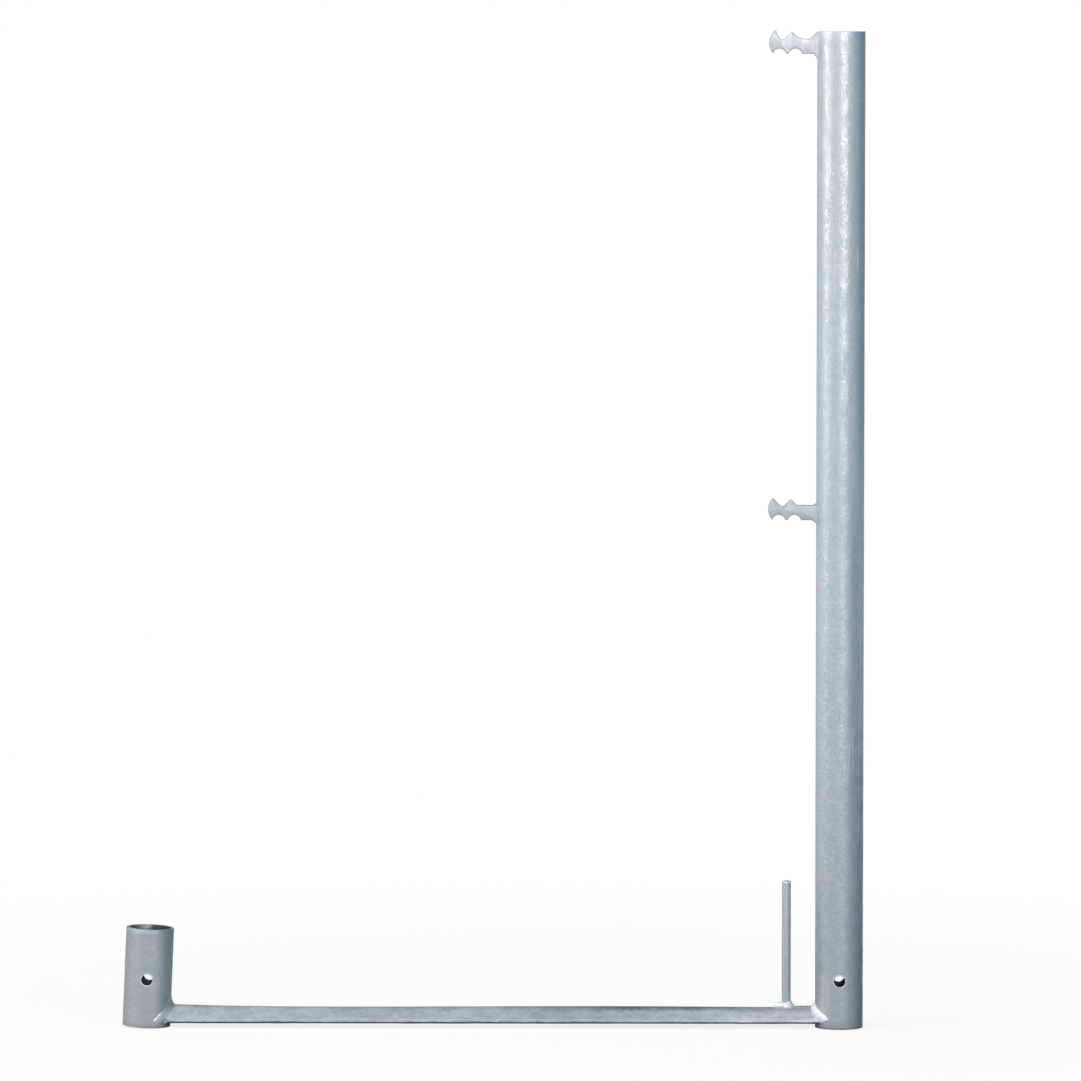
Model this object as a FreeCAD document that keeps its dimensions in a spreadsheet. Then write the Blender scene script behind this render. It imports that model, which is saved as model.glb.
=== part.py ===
import FreeCAD, Part
import math
import os

import Sketcher
from FreeCAD import Placement, Rotation, Vector

# Scaffold end frame: a welded, hot-dip galvanised frame that closes the end of a working platform.
# A tall post and a short socket slip over the spigots of the frame below. A folded bar ties their feet,
# two toothed pegs on the post take the guardrails, and a pin beside the post holds the toe board.
# The origin is the centre of the post's lower mouth, +Z is up, and the bar runs along -X to the socket.

doc = FreeCAD.newDocument("ScaffoldEndFrame")
sheet = doc.addObject("Spreadsheet::Sheet", "Sizes")

# Driving dimensions in millimetres and degrees, each with the note that stands beside it in the sheet.
DRIVING_DIMENSIONS = (
    ("tube_od", 48.3, "outside diameter of the post and the socket"),
    ("tube_wall", 3.2, "wall of both tubes"),
    ("rim_break", 0.5, "bevel on the outer rims of both tubes"),
    ("post_length", 1005, "height of the post"),
    ("socket_length", 100, "length of the socket along its own axis"),
    ("socket_lean", 2.5, "lean of the socket towards the post, drawn in by the weld"),
    ("axis_spacing", 700, "post axis to socket axis, along the bar's ridge"),
    ("lock_hole_dia", 11.5, "cross hole for a locking pin"),
    ("lock_hole_height", 49, "cross hole above the foot of its tube"),
    ("bar_leg", 22.3, "width of each leg of the folded bar, to its sharp corner"),
    ("bar_thick", 3, "thickness of the folded bar"),
    ("bar_bend", 5, "outside radius of the fold"),
    ("bar_edge", 1.3, "rounding of the bar's long edges"),
    ("bar_crest_height", 20.5, "top of the fold above the foot of the post"),
    ("pin_dia", 9, "diameter of the toe board pin"),
    ("pin_tip_round", 2.5, "rounding of the pin's upper end"),
    ("pin_offset", 53.2, "post axis to pin axis"),
    ("pin_top_height", 149, "upper end of the pin above the foot of the post"),
    ("pin_seat_depth", 5, "how far the pin's foot straddles the fold"),
    ("peg_thick", 8, "thickness of the peg plates"),
    ("peg_upper_height", 989.9, "middle of the upper peg's shank above the foot of the post"),
    ("peg_lower_height", 521.4, "middle of the lower peg's shank above the foot of the post"),
    ("peg_shank_half", 7.5, "half the depth of a peg's shank"),
    ("peg_tooth_height", 15, "top of a peg's teeth above the middle of its shank"),
    ("peg_nose_top", 67.2, "post axis to the upper end of the nose"),
    ("peg_nose_bottom", 68.4, "post axis to the lower end of the nose"),
    ("peg_nose_radius", 16, "radius of the nose"),
    ("upper_vee_reach", 59.6, "post axis to the bottom of the upper peg's vee notch"),
    ("lower_vee_reach", 58.2, "post axis to the bottom of the lower peg's vee notch"),
    ("upper_flank_run", 0.67, "run for each unit of rise of the upper peg's outer tooth, in the vee"),
    ("lower_flank_run", 1, "run for each unit of rise of the lower peg's outer tooth, in the vee"),
    ("vee_height", 5, "sharp bottom of the vee notch above the middle of the shank"),
    ("vee_round", 3, "rounding at the bottom of the vee notch"),
    ("upper_relief_reach", 42.4, "post axis to the foot of the upper peg's inner tooth"),
    ("lower_relief_reach", 43.6, "post axis to the foot of the lower peg's inner tooth"),
    ("upper_hollow", 18, "rounding behind the upper peg's inner tooth, a long hollow"),
    ("lower_hollow", 3, "rounding behind the lower peg's inner tooth"),
    ("scallop_radius", 6.8, "radius of the two scallops under a peg"),
    ("scallop_drop", 9, "centres of the scallops below the middle of the shank"),
    ("scallop_outer_reach", 62, "post axis to the outer scallop"),
    ("scallop_inner_reach", 46.2, "post axis to the inner scallop"),
    ("post_bead", 3.4, "radius of the weld between bar and post"),
    ("socket_bead", 4.6, "radius of the weld between bar and socket"),
    ("bead_rise", 1.2, "middle of a bar weld off the tube and off the bar"),
    ("bead_setback", 2.5, "last point of a bar weld before the bar's lower edge"),
    ("upper_peg_bead", 7, "reach of the weld round the upper peg's root"),
    ("lower_peg_bead", 4.5, "reach of the weld round the lower peg's root"),
    ("peg_bead_land", 0.6, "blunt rim left where a peg weld runs out on the shank"),
    ("pin_bead_height", 7, "half height of the weld mound under the pin"),
    ("pin_bead_length", 8.5, "half length of the mound along the bar"),
    ("pin_bead_width", 7.5, "half width of the mound across the bar"),
    ("pin_bead_shift", 2.5, "shift of the mound away from the post"),
    ("pin_bead_sink", 1, "middle of the mound below the crest of the fold"),
)
# A bar weld is drawn through the ends of this many equal steps, from one lower edge to the other.
BEAD_STEPS = 12

for row, (alias, value, note) in enumerate(DRIVING_DIMENSIONS, start=1):
    sheet.set(f"A{row}", note)
    sheet.set(f"B{row}", str(value))
    sheet.setAlias(f"B{row}", alias)
doc.recompute()


def size(alias):
    """Return one driving dimension as a number."""
    return float(sheet.get(alias))


# Expressions that several sub-parts share.
TUBE_RADIUS = "Sizes.tube_od / 2"
# The fold's two outer faces meet in a sharp ridge just above the rounded crest.
RIDGE_HEIGHT = "Sizes.bar_crest_height + Sizes.bar_bend * (sqrt(2) - 1)"

ridge_height = size("bar_crest_height") + size("bar_bend") * (math.sqrt(2) - 1)
tube_radius = size("tube_od") / 2
lean = math.radians(size("socket_lean"))
socket_axis = Vector(math.sin(lean), 0, math.cos(lean))
# The socket's axis crosses the ridge here.
socket_crossing = Vector(-size("axis_spacing"), 0, ridge_height)


def bind(obj, **expressions):
    """Tie properties to the sheet. A double underscore in a name stands for a dot."""
    for name, expression in expressions.items():
        obj.setExpression(name.replace("__", "."), expression)


def new_body(label):
    """Start a sub-part as a body of its own."""
    body = doc.addObject("PartDesign::Body", label)
    body.Label = label
    return body


def new_sketch(body, name, role):
    """Start a sketch on one of the body's own origin planes."""
    sketch = body.newObject("Sketcher::SketchObject", name)
    plane = next(feature for feature in body.Origin.OriginFeatures if feature.Role == role)
    sketch.AttachmentSupport = [(plane, "")]
    sketch.MapMode = "FlatFace"
    return sketch


def dimension(sketch, name, expression, *constraint):
    """Add a named dimension to a sketch and tie it to the sheet."""
    index = sketch.addConstraint(Sketcher.Constraint(*constraint))
    sketch.renameConstraint(index, name)
    sketch.setExpression(f"Constraints.{name}", expression)


def sketch_circle(sketch, name, centre, radius, radius_expression):
    """Add a circle with a driven radius and return its index."""
    circle = sketch.addGeometry(Part.Circle(centre, Vector(0, 0, 1), radius), False)
    dimension(sketch, name, radius_expression, "Radius", circle, radius)
    return circle


def centred_circle(sketch, name, radius, radius_expression):
    """Add a circle about the sketch's origin."""
    circle = sketch_circle(sketch, name, Vector(0, 0, 0), radius, radius_expression)
    sketch.addConstraint(Sketcher.Constraint("Coincident", circle, 3, -1, 1))


def sketch_polygon(sketch, corners):
    """Add a closed chain of lines and return the index of its first line."""
    first = sketch.GeometryCount
    count = len(corners)
    for index, corner in enumerate(corners):
        sketch.addGeometry(Part.LineSegment(corner, corners[(index + 1) % count]), False)
    for index in range(count):
        following = first + (index + 1) % count
        sketch.addConstraint(Sketcher.Constraint("Coincident", first + index, 2, following, 1))
    return first


def cut_through(body, sketch, name):
    """Cut a sketch right through the body, both ways."""
    doc.recompute()
    before = body.Shape.Volume
    pocket = body.newObject("PartDesign::Pocket", name)
    pocket.Profile = sketch
    pocket.Type = "ThroughAll"
    pocket.SideType = "Symmetric"
    doc.recompute()
    if body.Shape.Volume >= before:
        raise RuntimeError(f"{name} removes nothing")
    return pocket


def edge_numbers(shape, wanted):
    """Number the edges of a shape that pass a test."""
    return [number for number, edge in enumerate(shape.Edges, start=1) if wanted(edge)]


def edge_names(shape, wanted):
    """Name the edges of a shape that pass a test."""
    return [f"Edge{number}" for number in edge_numbers(shape, wanted)]


def round_edges(body, name, wanted, radius_expression):
    """Round those edges of the body's last feature that pass a test."""
    doc.recompute()
    base = body.Tip
    fillet = body.newObject("PartDesign::Fillet", name)
    fillet.Base = (base, edge_names(base.Shape, wanted))
    bind(fillet, Radius=radius_expression)
    doc.recompute()
    return fillet


def near(first, second, tolerance=1e-3):
    """Tell whether two lengths agree."""
    return abs(first - second) < tolerance


def build_tube(label, length_alias):
    """A length of scaffold tube with bevelled outer rims and a cross hole above its foot."""
    body = new_body(label)
    ring = new_sketch(body, f"{label}_ring", "XY_Plane")
    centred_circle(ring, "outer", tube_radius, TUBE_RADIUS)
    inner_radius = tube_radius - size("tube_wall")
    centred_circle(ring, "inner", inner_radius, f"{TUBE_RADIUS} - Sizes.tube_wall")
    pad = body.newObject("PartDesign::Pad", f"{label}_pad")
    pad.Profile = ring
    bind(pad, Length=f"Sizes.{length_alias}")
    doc.recompute()

    def is_outer_rim(edge):
        return isinstance(edge.Curve, Part.Circle) and near(edge.Curve.Radius, tube_radius)

    bevel = body.newObject("PartDesign::Chamfer", f"{label}_rim_bevel")
    bevel.Base = (pad, edge_names(pad.Shape, is_outer_rim))
    bind(bevel, Size="Sizes.rim_break")

    hole = new_sketch(body, f"{label}_cross_hole", "XZ_Plane")
    height = size("lock_hole_height")
    circle = sketch_circle(
        hole, "hole", Vector(0, height, 0), size("lock_hole_dia") / 2, "Sizes.lock_hole_dia / 2"
    )
    hole.addConstraint(Sketcher.Constraint("PointOnObject", circle, 3, -2))
    dimension(hole, "height", "Sizes.lock_hole_height", "DistanceY", -1, 1, circle, 3, height)
    cut_through(body, hole, f"{label}_cross_hole_cut")
    return body


def build_post():
    """The tall post, standing on the origin."""
    return build_tube("post_tube", "post_length")


def build_socket():
    """The short socket, leaning about the bar's ridge, with the low side of its foot at floor level."""
    body = build_tube("socket_tube", "socket_length")
    body.Placement = Placement(Vector(0, 0, 0), Rotation(Vector(0, 1, 0), size("socket_lean")))
    foot = f"({TUBE_RADIUS} - Sizes.rim_break) * sin(Sizes.socket_lean)"
    drop = f"({RIDGE_HEIGHT} - {foot}) * tan(Sizes.socket_lean)"
    bind(
        body,
        Placement__Rotation__Angle="Sizes.socket_lean",
        Placement__Base__x=f"-Sizes.axis_spacing - {drop}",
        Placement__Base__z=foot,
    )
    return body


def build_bar():
    """The folded bar: an inverted-V strip with a rounded crest, coped at both ends to the tubes."""
    body = new_body("cross_bar")
    bind(body, Placement__Base__z=RIDGE_HEIGHT)

    # The sketch is turned so that both legs slope down from the ridge.
    profile = new_sketch(body, "bar_profile", "YZ_Plane")
    profile.AttachmentOffset = Placement(Vector(0, 0, 0), Rotation(Vector(0, 0, 1), -135))
    leg = size("bar_leg")
    thick = size("bar_thick")
    corners = [(0, 0), (leg, 0), (leg, thick), (thick, thick), (thick, leg), (0, leg)]
    first = sketch_polygon(profile, [Vector(x, y, 0) for x, y in corners])
    profile.addConstraint(Sketcher.Constraint("Coincident", first, 1, -1, 1))
    for index in (0, 2, 4):
        profile.addConstraint(Sketcher.Constraint("Horizontal", first + index))
        profile.addConstraint(Sketcher.Constraint("Vertical", first + index + 1))
    dimension(profile, "front_leg", "Sizes.bar_leg", "Distance", first, leg)
    dimension(profile, "back_leg", "Sizes.bar_leg", "Distance", first + 5, leg)
    dimension(profile, "front_edge", "Sizes.bar_thick", "Distance", first + 1, thick)
    dimension(profile, "back_edge", "Sizes.bar_thick", "Distance", first + 4, thick)

    pad = body.newObject("PartDesign::Pad", "bar_pad")
    pad.Profile = profile
    pad.Reversed = True
    bind(pad, Length="Sizes.axis_spacing")

    def along_bar(edge):
        return near(abs(edge.tangentAt(edge.FirstParameter).x), 1)

    def is_ridge(edge):
        return along_bar(edge) and near(edge.CenterOfMass.z, 0)

    def is_valley(edge):
        return along_bar(edge) and near(edge.CenterOfMass.z, -thick * math.sqrt(2))

    def is_free_edge(edge):
        return along_bar(edge) and abs(edge.CenterOfMass.y) > leg / 2

    round_edges(body, "bar_crest", is_ridge, "Sizes.bar_bend")
    round_edges(body, "bar_valley", is_valley, "Sizes.bar_bend - Sizes.bar_thick")
    round_edges(body, "bar_edges", is_free_edge, "Sizes.bar_edge")

    post_cope = new_sketch(body, "post_cope", "XY_Plane")
    centred_circle(post_cope, "radius", tube_radius, TUBE_RADIUS)
    cut_through(body, post_cope, "post_cope_cut")

    socket_cope = new_sketch(body, "socket_cope", "XY_Plane")
    socket_cope.AttachmentOffset = Placement(
        Vector(-size("axis_spacing"), 0, 0), Rotation(Vector(0, 1, 0), size("socket_lean"))
    )
    bind(
        socket_cope,
        AttachmentOffset__Base__x="-Sizes.axis_spacing",
        AttachmentOffset__Rotation__Angle="Sizes.socket_lean",
    )
    centred_circle(socket_cope, "radius", tube_radius, TUBE_RADIUS)
    cut_through(body, socket_cope, "socket_cope_cut")
    return body


def build_peg(label, place):
    """A flat peg plate: saw teeth on top, two scallops below, a round nose and a root coped to the post."""
    body = new_body(label)
    bind(body, Placement__Base__z=f"Sizes.peg_{place}_height")
    half = size("peg_shank_half")
    top = size("peg_tooth_height")

    # The blank, from inside the post's wall out to the nose.
    blank = new_sketch(body, f"{label}_blank", "XZ_Plane")
    root = tube_radius - size("tube_wall")
    root_low = Vector(-root, -half, 0)
    root_high = Vector(-root, top, 0)
    nose_low = Vector(-size("peg_nose_bottom"), -half, 0)
    nose_high = Vector(-size("peg_nose_top"), top, 0)
    low = blank.addGeometry(Part.LineSegment(root_low, nose_low), False)
    high = blank.addGeometry(Part.LineSegment(nose_high, root_high), False)
    back = blank.addGeometry(Part.LineSegment(root_high, root_low), False)
    radius = size("peg_nose_radius")
    chord = nose_high - nose_low
    inward = Vector(chord.y, -chord.x, 0).normalize()
    centre = (nose_low + nose_high) / 2 + inward * math.sqrt(radius**2 - (chord.Length / 2) ** 2)
    start = math.atan2(nose_high.y - centre.y, nose_high.x - centre.x)
    end = math.atan2(nose_low.y - centre.y, nose_low.x - centre.x) + 2 * math.pi
    circle = Part.Circle(centre, Vector(0, 0, 1), radius)
    nose = blank.addGeometry(Part.ArcOfCircle(circle, start, end), False)
    for first, first_end, second, second_end in (
        (low, 2, nose, 2),
        (nose, 1, high, 1),
        (high, 2, back, 1),
        (back, 2, low, 1),
    ):
        blank.addConstraint(Sketcher.Constraint("Coincident", first, first_end, second, second_end))
    blank.addConstraint(Sketcher.Constraint("Horizontal", low))
    blank.addConstraint(Sketcher.Constraint("Horizontal", high))
    blank.addConstraint(Sketcher.Constraint("Vertical", back))
    dimension(blank, "nose", "Sizes.peg_nose_radius", "Radius", nose, radius)
    dimension(blank, "root", f"{TUBE_RADIUS} - Sizes.tube_wall", "DistanceX", back, 1, -1, 1, root)
    dimension(blank, "half", "Sizes.peg_shank_half", "DistanceY", low, 1, -1, 1, half)
    dimension(blank, "top", "Sizes.peg_tooth_height", "DistanceY", -1, 1, high, 1, top)
    dimension(blank, "nose_low", "Sizes.peg_nose_bottom", "DistanceX", low, 2, -1, 1, -nose_low.x)
    dimension(blank, "nose_high", "Sizes.peg_nose_top", "DistanceX", high, 1, -1, 1, -nose_high.x)
    pad = body.newObject("PartDesign::Pad", f"{label}_pad")
    pad.Profile = blank
    pad.SideType = "Symmetric"
    bind(pad, Length="Sizes.peg_thick")

    # The saw cut: down one flank of the vee, up to the inner tooth, down again and along the shank.
    saw = new_sketch(body, f"{label}_saw", "XZ_Plane")
    vee = Vector(-size(f"{place}_vee_reach"), size("vee_height"), 0)
    foot = Vector(-size(f"{place}_relief_reach"), half, 0)
    clear = 2 * top
    entry = vee.x - (clear - vee.y) * size(f"{place}_flank_run")
    rise = (foot.x - vee.x + foot.y - vee.y) / 2
    corners = [
        Vector(entry, clear, 0),
        vee,
        Vector(vee.x + rise, vee.y + rise, 0),
        foot,
        Vector(0, half, 0),
        Vector(0, clear, 0),
    ]
    outer = sketch_polygon(saw, corners)
    inner, relief, shank, side, above = range(outer + 1, outer + 6)
    for line, turn in ((inner, 45), (relief, -45)):
        saw.addConstraint(Sketcher.Constraint("Angle", line, math.radians(turn)))
    saw.addConstraint(Sketcher.Constraint("Horizontal", shank))
    saw.addConstraint(Sketcher.Constraint("Horizontal", above))
    saw.addConstraint(Sketcher.Constraint("Vertical", side))
    saw.addConstraint(Sketcher.Constraint("PointOnObject", side, 1, -2))
    rise_expression = "(2 * Sizes.peg_tooth_height - Sizes.vee_height)"
    entry_expression = f"Sizes.{place}_vee_reach + {rise_expression} * Sizes.{place}_flank_run"
    dimension(saw, "entry", entry_expression, "DistanceX", outer, 1, -1, 1, -entry)
    dimension(saw, "vee_reach", f"Sizes.{place}_vee_reach", "DistanceX", inner, 1, -1, 1, -vee.x)
    dimension(saw, "vee_height", "Sizes.vee_height", "DistanceY", -1, 1, inner, 1, vee.y)
    dimension(saw, "foot_reach", f"Sizes.{place}_relief_reach", "DistanceX", shank, 1, -1, 1, -foot.x)
    dimension(saw, "shank", "Sizes.peg_shank_half", "DistanceY", -1, 1, shank, 1, half)
    dimension(saw, "clear", "2 * Sizes.peg_tooth_height", "DistanceY", -1, 1, above, 1, clear)
    cut_through(body, saw, f"{label}_saw_cut")

    def is_corner(edge, corner):
        middle = edge.CenterOfMass
        across = near(abs(edge.tangentAt(edge.FirstParameter).y), 1)
        return across and near(middle.x, corner.x) and near(middle.z, corner.y)

    round_edges(body, f"{label}_vee_round", lambda edge: is_corner(edge, vee), "Sizes.vee_round")
    round_edges(body, f"{label}_hollow", lambda edge: is_corner(edge, foot), f"Sizes.{place}_hollow")

    scallops = new_sketch(body, f"{label}_scallops", "XZ_Plane")
    drop = size("scallop_drop")
    for spot in ("outer", "inner"):
        reach = size(f"scallop_{spot}_reach")
        centre = Vector(-reach, -drop, 0)
        radius = size("scallop_radius")
        scallop = sketch_circle(scallops, f"{spot}_radius", centre, radius, "Sizes.scallop_radius")
        reach_expression = f"Sizes.scallop_{spot}_reach"
        dimension(scallops, f"{spot}_reach", reach_expression, "DistanceX", scallop, 3, -1, 1, reach)
        dimension(scallops, f"{spot}_drop", "Sizes.scallop_drop", "DistanceY", scallop, 3, -1, 1, drop)
    cut_through(body, scallops, f"{label}_scallop_cut")

    cope = new_sketch(body, f"{label}_cope", "XY_Plane")
    centred_circle(cope, "radius", tube_radius, TUBE_RADIUS)
    cut_through(body, cope, f"{label}_cope_cut")
    return body


def solid_post():
    """The post without its bore, as a cutter for what is welded to it."""
    cutter = doc.addObject("Part::Cylinder", "post_cutter")
    bind(cutter, Radius=TUBE_RADIUS, Height="Sizes.post_length")
    return cutter


def solid_socket():
    """The socket without its bore, long enough both ways to trim the weld."""
    cutter = doc.addObject("Part::Cylinder", "socket_cutter")
    foot = socket_crossing - socket_axis * size("socket_length")
    cutter.Placement = Placement(foot, Rotation(Vector(0, 0, 1), socket_axis))
    bind(cutter, Radius=TUBE_RADIUS, Height="2 * Sizes.socket_length")
    return cutter


def solid_roof():
    """All that lies under the bar's outer faces: a square bar on edge, its top rounded like the fold."""
    block = doc.addObject("Part::Box", "roof_block")
    block.Placement = Placement(Vector(0, 0, 0), Rotation(Vector(1, 0, 0), -135))
    bind(
        block,
        Length="Sizes.axis_spacing",
        Width="2 * Sizes.bar_leg",
        Height="2 * Sizes.bar_leg",
        Placement__Base__x="-Sizes.axis_spacing",
        Placement__Base__z=RIDGE_HEIGHT,
    )
    doc.recompute()

    def is_ridge(edge):
        return near(edge.CenterOfMass.z, ridge_height)

    roof = doc.addObject("Part::Fillet", "roof_cutter")
    roof.Base = block
    bend = size("bar_bend")
    roof.Edges = [(ridge, bend, bend) for ridge in edge_numbers(block.Shape, is_ridge)]
    return roof


def trim(label, blank, cutters):
    """Cut a blank back to the pieces that it meets. The last cut is the sub-part."""
    for index, cutter in enumerate(cutters, start=1):
        cut = doc.addObject("Part::Cut", f"{label}_trim_{index}")
        cut.Base = blank
        cut.Tool = cutter
        blank = cut
    blank.Label = label
    return blank


def build_pin(roof):
    """The toe board pin: a round bar with a rounded tip, its foot straddling the fold of the bar."""
    rod = doc.addObject("Part::Cylinder", "pin_rod")
    foot = "(Sizes.bar_crest_height - Sizes.pin_seat_depth)"
    bind(
        rod,
        Radius="Sizes.pin_dia / 2",
        Height=f"Sizes.pin_top_height - {foot}",
        Placement__Base__x="-Sizes.pin_offset",
        Placement__Base__z=foot,
    )
    doc.recompute()

    def is_tip(edge):
        return isinstance(edge.Curve, Part.Circle) and near(edge.CenterOfMass.z, size("pin_top_height"))

    rounded = doc.addObject("Part::Fillet", "pin_rounded")
    rounded.Base = rod
    tip_round = size("pin_tip_round")
    rounded.Edges = [(tip, tip_round, tip_round) for tip in edge_numbers(rod.Shape, is_tip)]
    return trim("toe_board_pin", rounded, [roof])


def build_pin_weld(roof, pin):
    """The mound of weld metal round the pin's foot, heavier on the side away from the post."""
    mound = doc.addObject("Part::Ellipsoid", "pin_mound")
    mound.Angle1 = -90
    mound.Angle2 = 90
    bind(
        mound,
        Radius1="Sizes.pin_bead_height",
        Radius2="Sizes.pin_bead_length",
        Radius3="Sizes.pin_bead_width",
        Placement__Base__x="-Sizes.pin_offset - Sizes.pin_bead_shift",
        Placement__Base__z="Sizes.bar_crest_height - Sizes.pin_bead_sink",
    )
    return trim("toe_pin_weld", mound, [roof, pin])


def build_peg_weld(label, height_alias, bead_alias, post, peg):
    """A mitred fillet weld all round a peg's root, cut back to the post and the peg."""
    bead = f"Sizes.{bead_alias}"
    block = doc.addObject("Part::Box", f"{label}_block")
    bind(
        block,
        Length=f"2 * {bead}",
        Width=f"Sizes.peg_thick + 2 * {bead}",
        Height=f"2 * (Sizes.peg_shank_half + {bead})",
        Placement__Base__x=f"-{TUBE_RADIUS} - {bead}",
        Placement__Base__y=f"-Sizes.peg_thick / 2 - {bead}",
        Placement__Base__z=f"Sizes.{height_alias} - Sizes.peg_shank_half - {bead}",
    )
    doc.recompute()

    def is_outer_rim(edge):
        return near(edge.CenterOfMass.x, -tube_radius - size(bead_alias))

    mitred = doc.addObject("Part::Chamfer", f"{label}_mitred")
    mitred.Base = block
    slope = size(bead_alias) - size("peg_bead_land")
    mitred.Edges = [(rim, slope, slope) for rim in edge_numbers(block.Shape, is_outer_rim)]
    return trim(label, mitred, [post, peg])


def bead_point(foot, axis, towards, across):
    """A point along the middle of a bar weld, at a distance across from the bar's middle.

    The run follows the seam of a tube with the bar's outer faces, lifted off both by the same rise.
    """
    rise = size("bead_rise")
    bend = size("bar_bend") + rise
    ridge = ridge_height + rise * math.sqrt(2)
    if abs(across) < bend / math.sqrt(2):
        height = ridge - bend * math.sqrt(2) + math.sqrt(bend**2 - across**2)
    else:
        height = ridge - abs(across)
    on_axis = foot + axis * ((height - foot.z) / axis.z)
    reach = math.sqrt((tube_radius + rise) ** 2 - across**2) / axis.z
    return Vector(on_axis.x + towards * reach, across, height)


def build_bar_weld(label, bead_alias, foot, axis, towards, tube, roof):
    """A weld run over the bar from one lower edge to the other, along its seam with a tube."""
    bead = size(bead_alias)
    last = size("bar_leg") / math.sqrt(2) - size("bead_setback")
    distances = [last * (2 * index / BEAD_STEPS - 1) for index in range(BEAD_STEPS + 1)]
    points = [bead_point(foot, axis, towards, across) for across in distances]
    seam = Part.BSplineCurve()
    seam.interpolate(points)
    spine = Part.Wire(seam.toShape())
    section = Part.Wire(Part.makeCircle(bead, points[0], seam.tangent(seam.FirstParameter)[0]))
    run = spine.makePipeShell([section], True, True)
    ends = [Part.makeSphere(bead, point) for point in (points[0], points[-1])]
    blank = doc.addObject("Part::Feature", f"{label}_run")
    blank.Shape = run.multiFuse(ends)
    return trim(label, blank, [tube, roof])


post_tube = build_post()
socket_tube = build_socket()
cross_bar = build_bar()
upper_rail_peg = build_peg("upper_rail_peg", "upper")
lower_rail_peg = build_peg("lower_rail_peg", "lower")

post_cutter = solid_post()
socket_cutter = solid_socket()
roof_cutter = solid_roof()
toe_board_pin = build_pin(roof_cutter)
toe_pin_weld = build_pin_weld(roof_cutter, toe_board_pin)
upper_peg_weld = build_peg_weld(
    "upper_peg_weld", "peg_upper_height", "upper_peg_bead", post_cutter, upper_rail_peg
)
lower_peg_weld = build_peg_weld(
    "lower_peg_weld", "peg_lower_height", "lower_peg_bead", post_cutter, lower_rail_peg
)
post_bar_weld = build_bar_weld(
    "post_bar_weld", "post_bead", Vector(0, 0, 0), Vector(0, 0, 1), -1, post_cutter, roof_cutter
)
socket_bar_weld = build_bar_weld(
    "socket_bar_weld", "socket_bead", socket_crossing, socket_axis, 1, socket_cutter, roof_cutter
)
doc.recompute()

SUB_PARTS = (
    post_tube,
    socket_tube,
    cross_bar,
    toe_board_pin,
    upper_rail_peg,
    lower_rail_peg,
    post_bar_weld,
    socket_bar_weld,
    toe_pin_weld,
    upper_peg_weld,
    lower_peg_weld,
)

for obj in doc.Objects:
    if "Invalid" in obj.State or "Error" in obj.State:
        raise RuntimeError(f"{obj.Name} failed: {obj.State}")
for part in SUB_PARTS:
    if part.Shape.isNull() or not part.Shape.isValid():
        raise RuntimeError(f"{part.Label} has no valid shape")
    if len(part.Shape.Solids) != 1:
        raise RuntimeError(f"{part.Label} is {len(part.Shape.Solids)} solids")

os.makedirs("parts", exist_ok=True)
for part in SUB_PARTS:
    part.Shape.exportStep(f"parts/{part.Label}.step")
    print(f"{part.Label}: {part.Shape.Volume / 1000:.2f} cm3")
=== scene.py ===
import logging
import math
import random
from contextlib import contextmanager
from dataclasses import dataclass, field, replace
from enum import Enum
from functools import reduce
from typing import Callable, Iterator, Sequence

import bmesh
import bpy
from mathutils import Matrix, Quaternion, Vector


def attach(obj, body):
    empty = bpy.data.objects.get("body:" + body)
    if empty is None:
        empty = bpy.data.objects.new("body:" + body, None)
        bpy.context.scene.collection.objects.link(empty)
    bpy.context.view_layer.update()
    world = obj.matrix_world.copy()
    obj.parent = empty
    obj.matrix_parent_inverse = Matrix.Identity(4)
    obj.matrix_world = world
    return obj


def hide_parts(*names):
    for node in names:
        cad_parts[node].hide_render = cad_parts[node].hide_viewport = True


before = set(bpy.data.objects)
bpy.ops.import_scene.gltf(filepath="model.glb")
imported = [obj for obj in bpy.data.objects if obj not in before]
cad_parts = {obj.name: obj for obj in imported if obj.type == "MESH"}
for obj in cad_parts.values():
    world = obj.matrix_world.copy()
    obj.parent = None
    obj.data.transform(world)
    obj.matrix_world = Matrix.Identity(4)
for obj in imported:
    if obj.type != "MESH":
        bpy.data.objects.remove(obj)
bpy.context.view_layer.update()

# A hot-dip galvanised scaffold end frame: a tall post, a short leaning socket, the folded bar that ties
# their feet, two toothed pegs for guardrails and a pin for the toe board. All sizes are in metres, in the
# part's own frame: the origin is the centre of the post's lower mouth, +Z is up and the bar runs along -X.

log = logging.getLogger("end_frame")

Span = tuple[float, float]
Triple = tuple[float, float, float]
Source = bpy.types.NodeSocket | float | tuple[float, ...]

BODY = "root"
MM = 0.001

# Sizes that several pieces share.
TUBE_RADIUS = 24.15 * MM
TUBE_WALL = 3.2 * MM
RIM_RADIUS = TUBE_RADIUS - 0.5 * MM
POST_LENGTH = 1005 * MM
SOCKET_LENGTH = 100 * MM
AXIS_SPACING = 700 * MM
CREST_HEIGHT = 20.5 * MM
FOLD_RADIUS = 5 * MM
RIDGE_HEIGHT = CREST_HEIGHT + FOLD_RADIUS * (math.sqrt(2) - 1)
BAR_LEG = 22.3 * MM
BAR_HALF_WIDTH = BAR_LEG / math.sqrt(2)
PIN_OFFSET = 53.2 * MM
UPPER_PEG = 989.9 * MM
LOWER_PEG = 521.4 * MM
SHANK_HALF = 7.5 * MM
TOOTH_HEIGHT = 15 * MM
PLATE_HALF = 4 * MM

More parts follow.
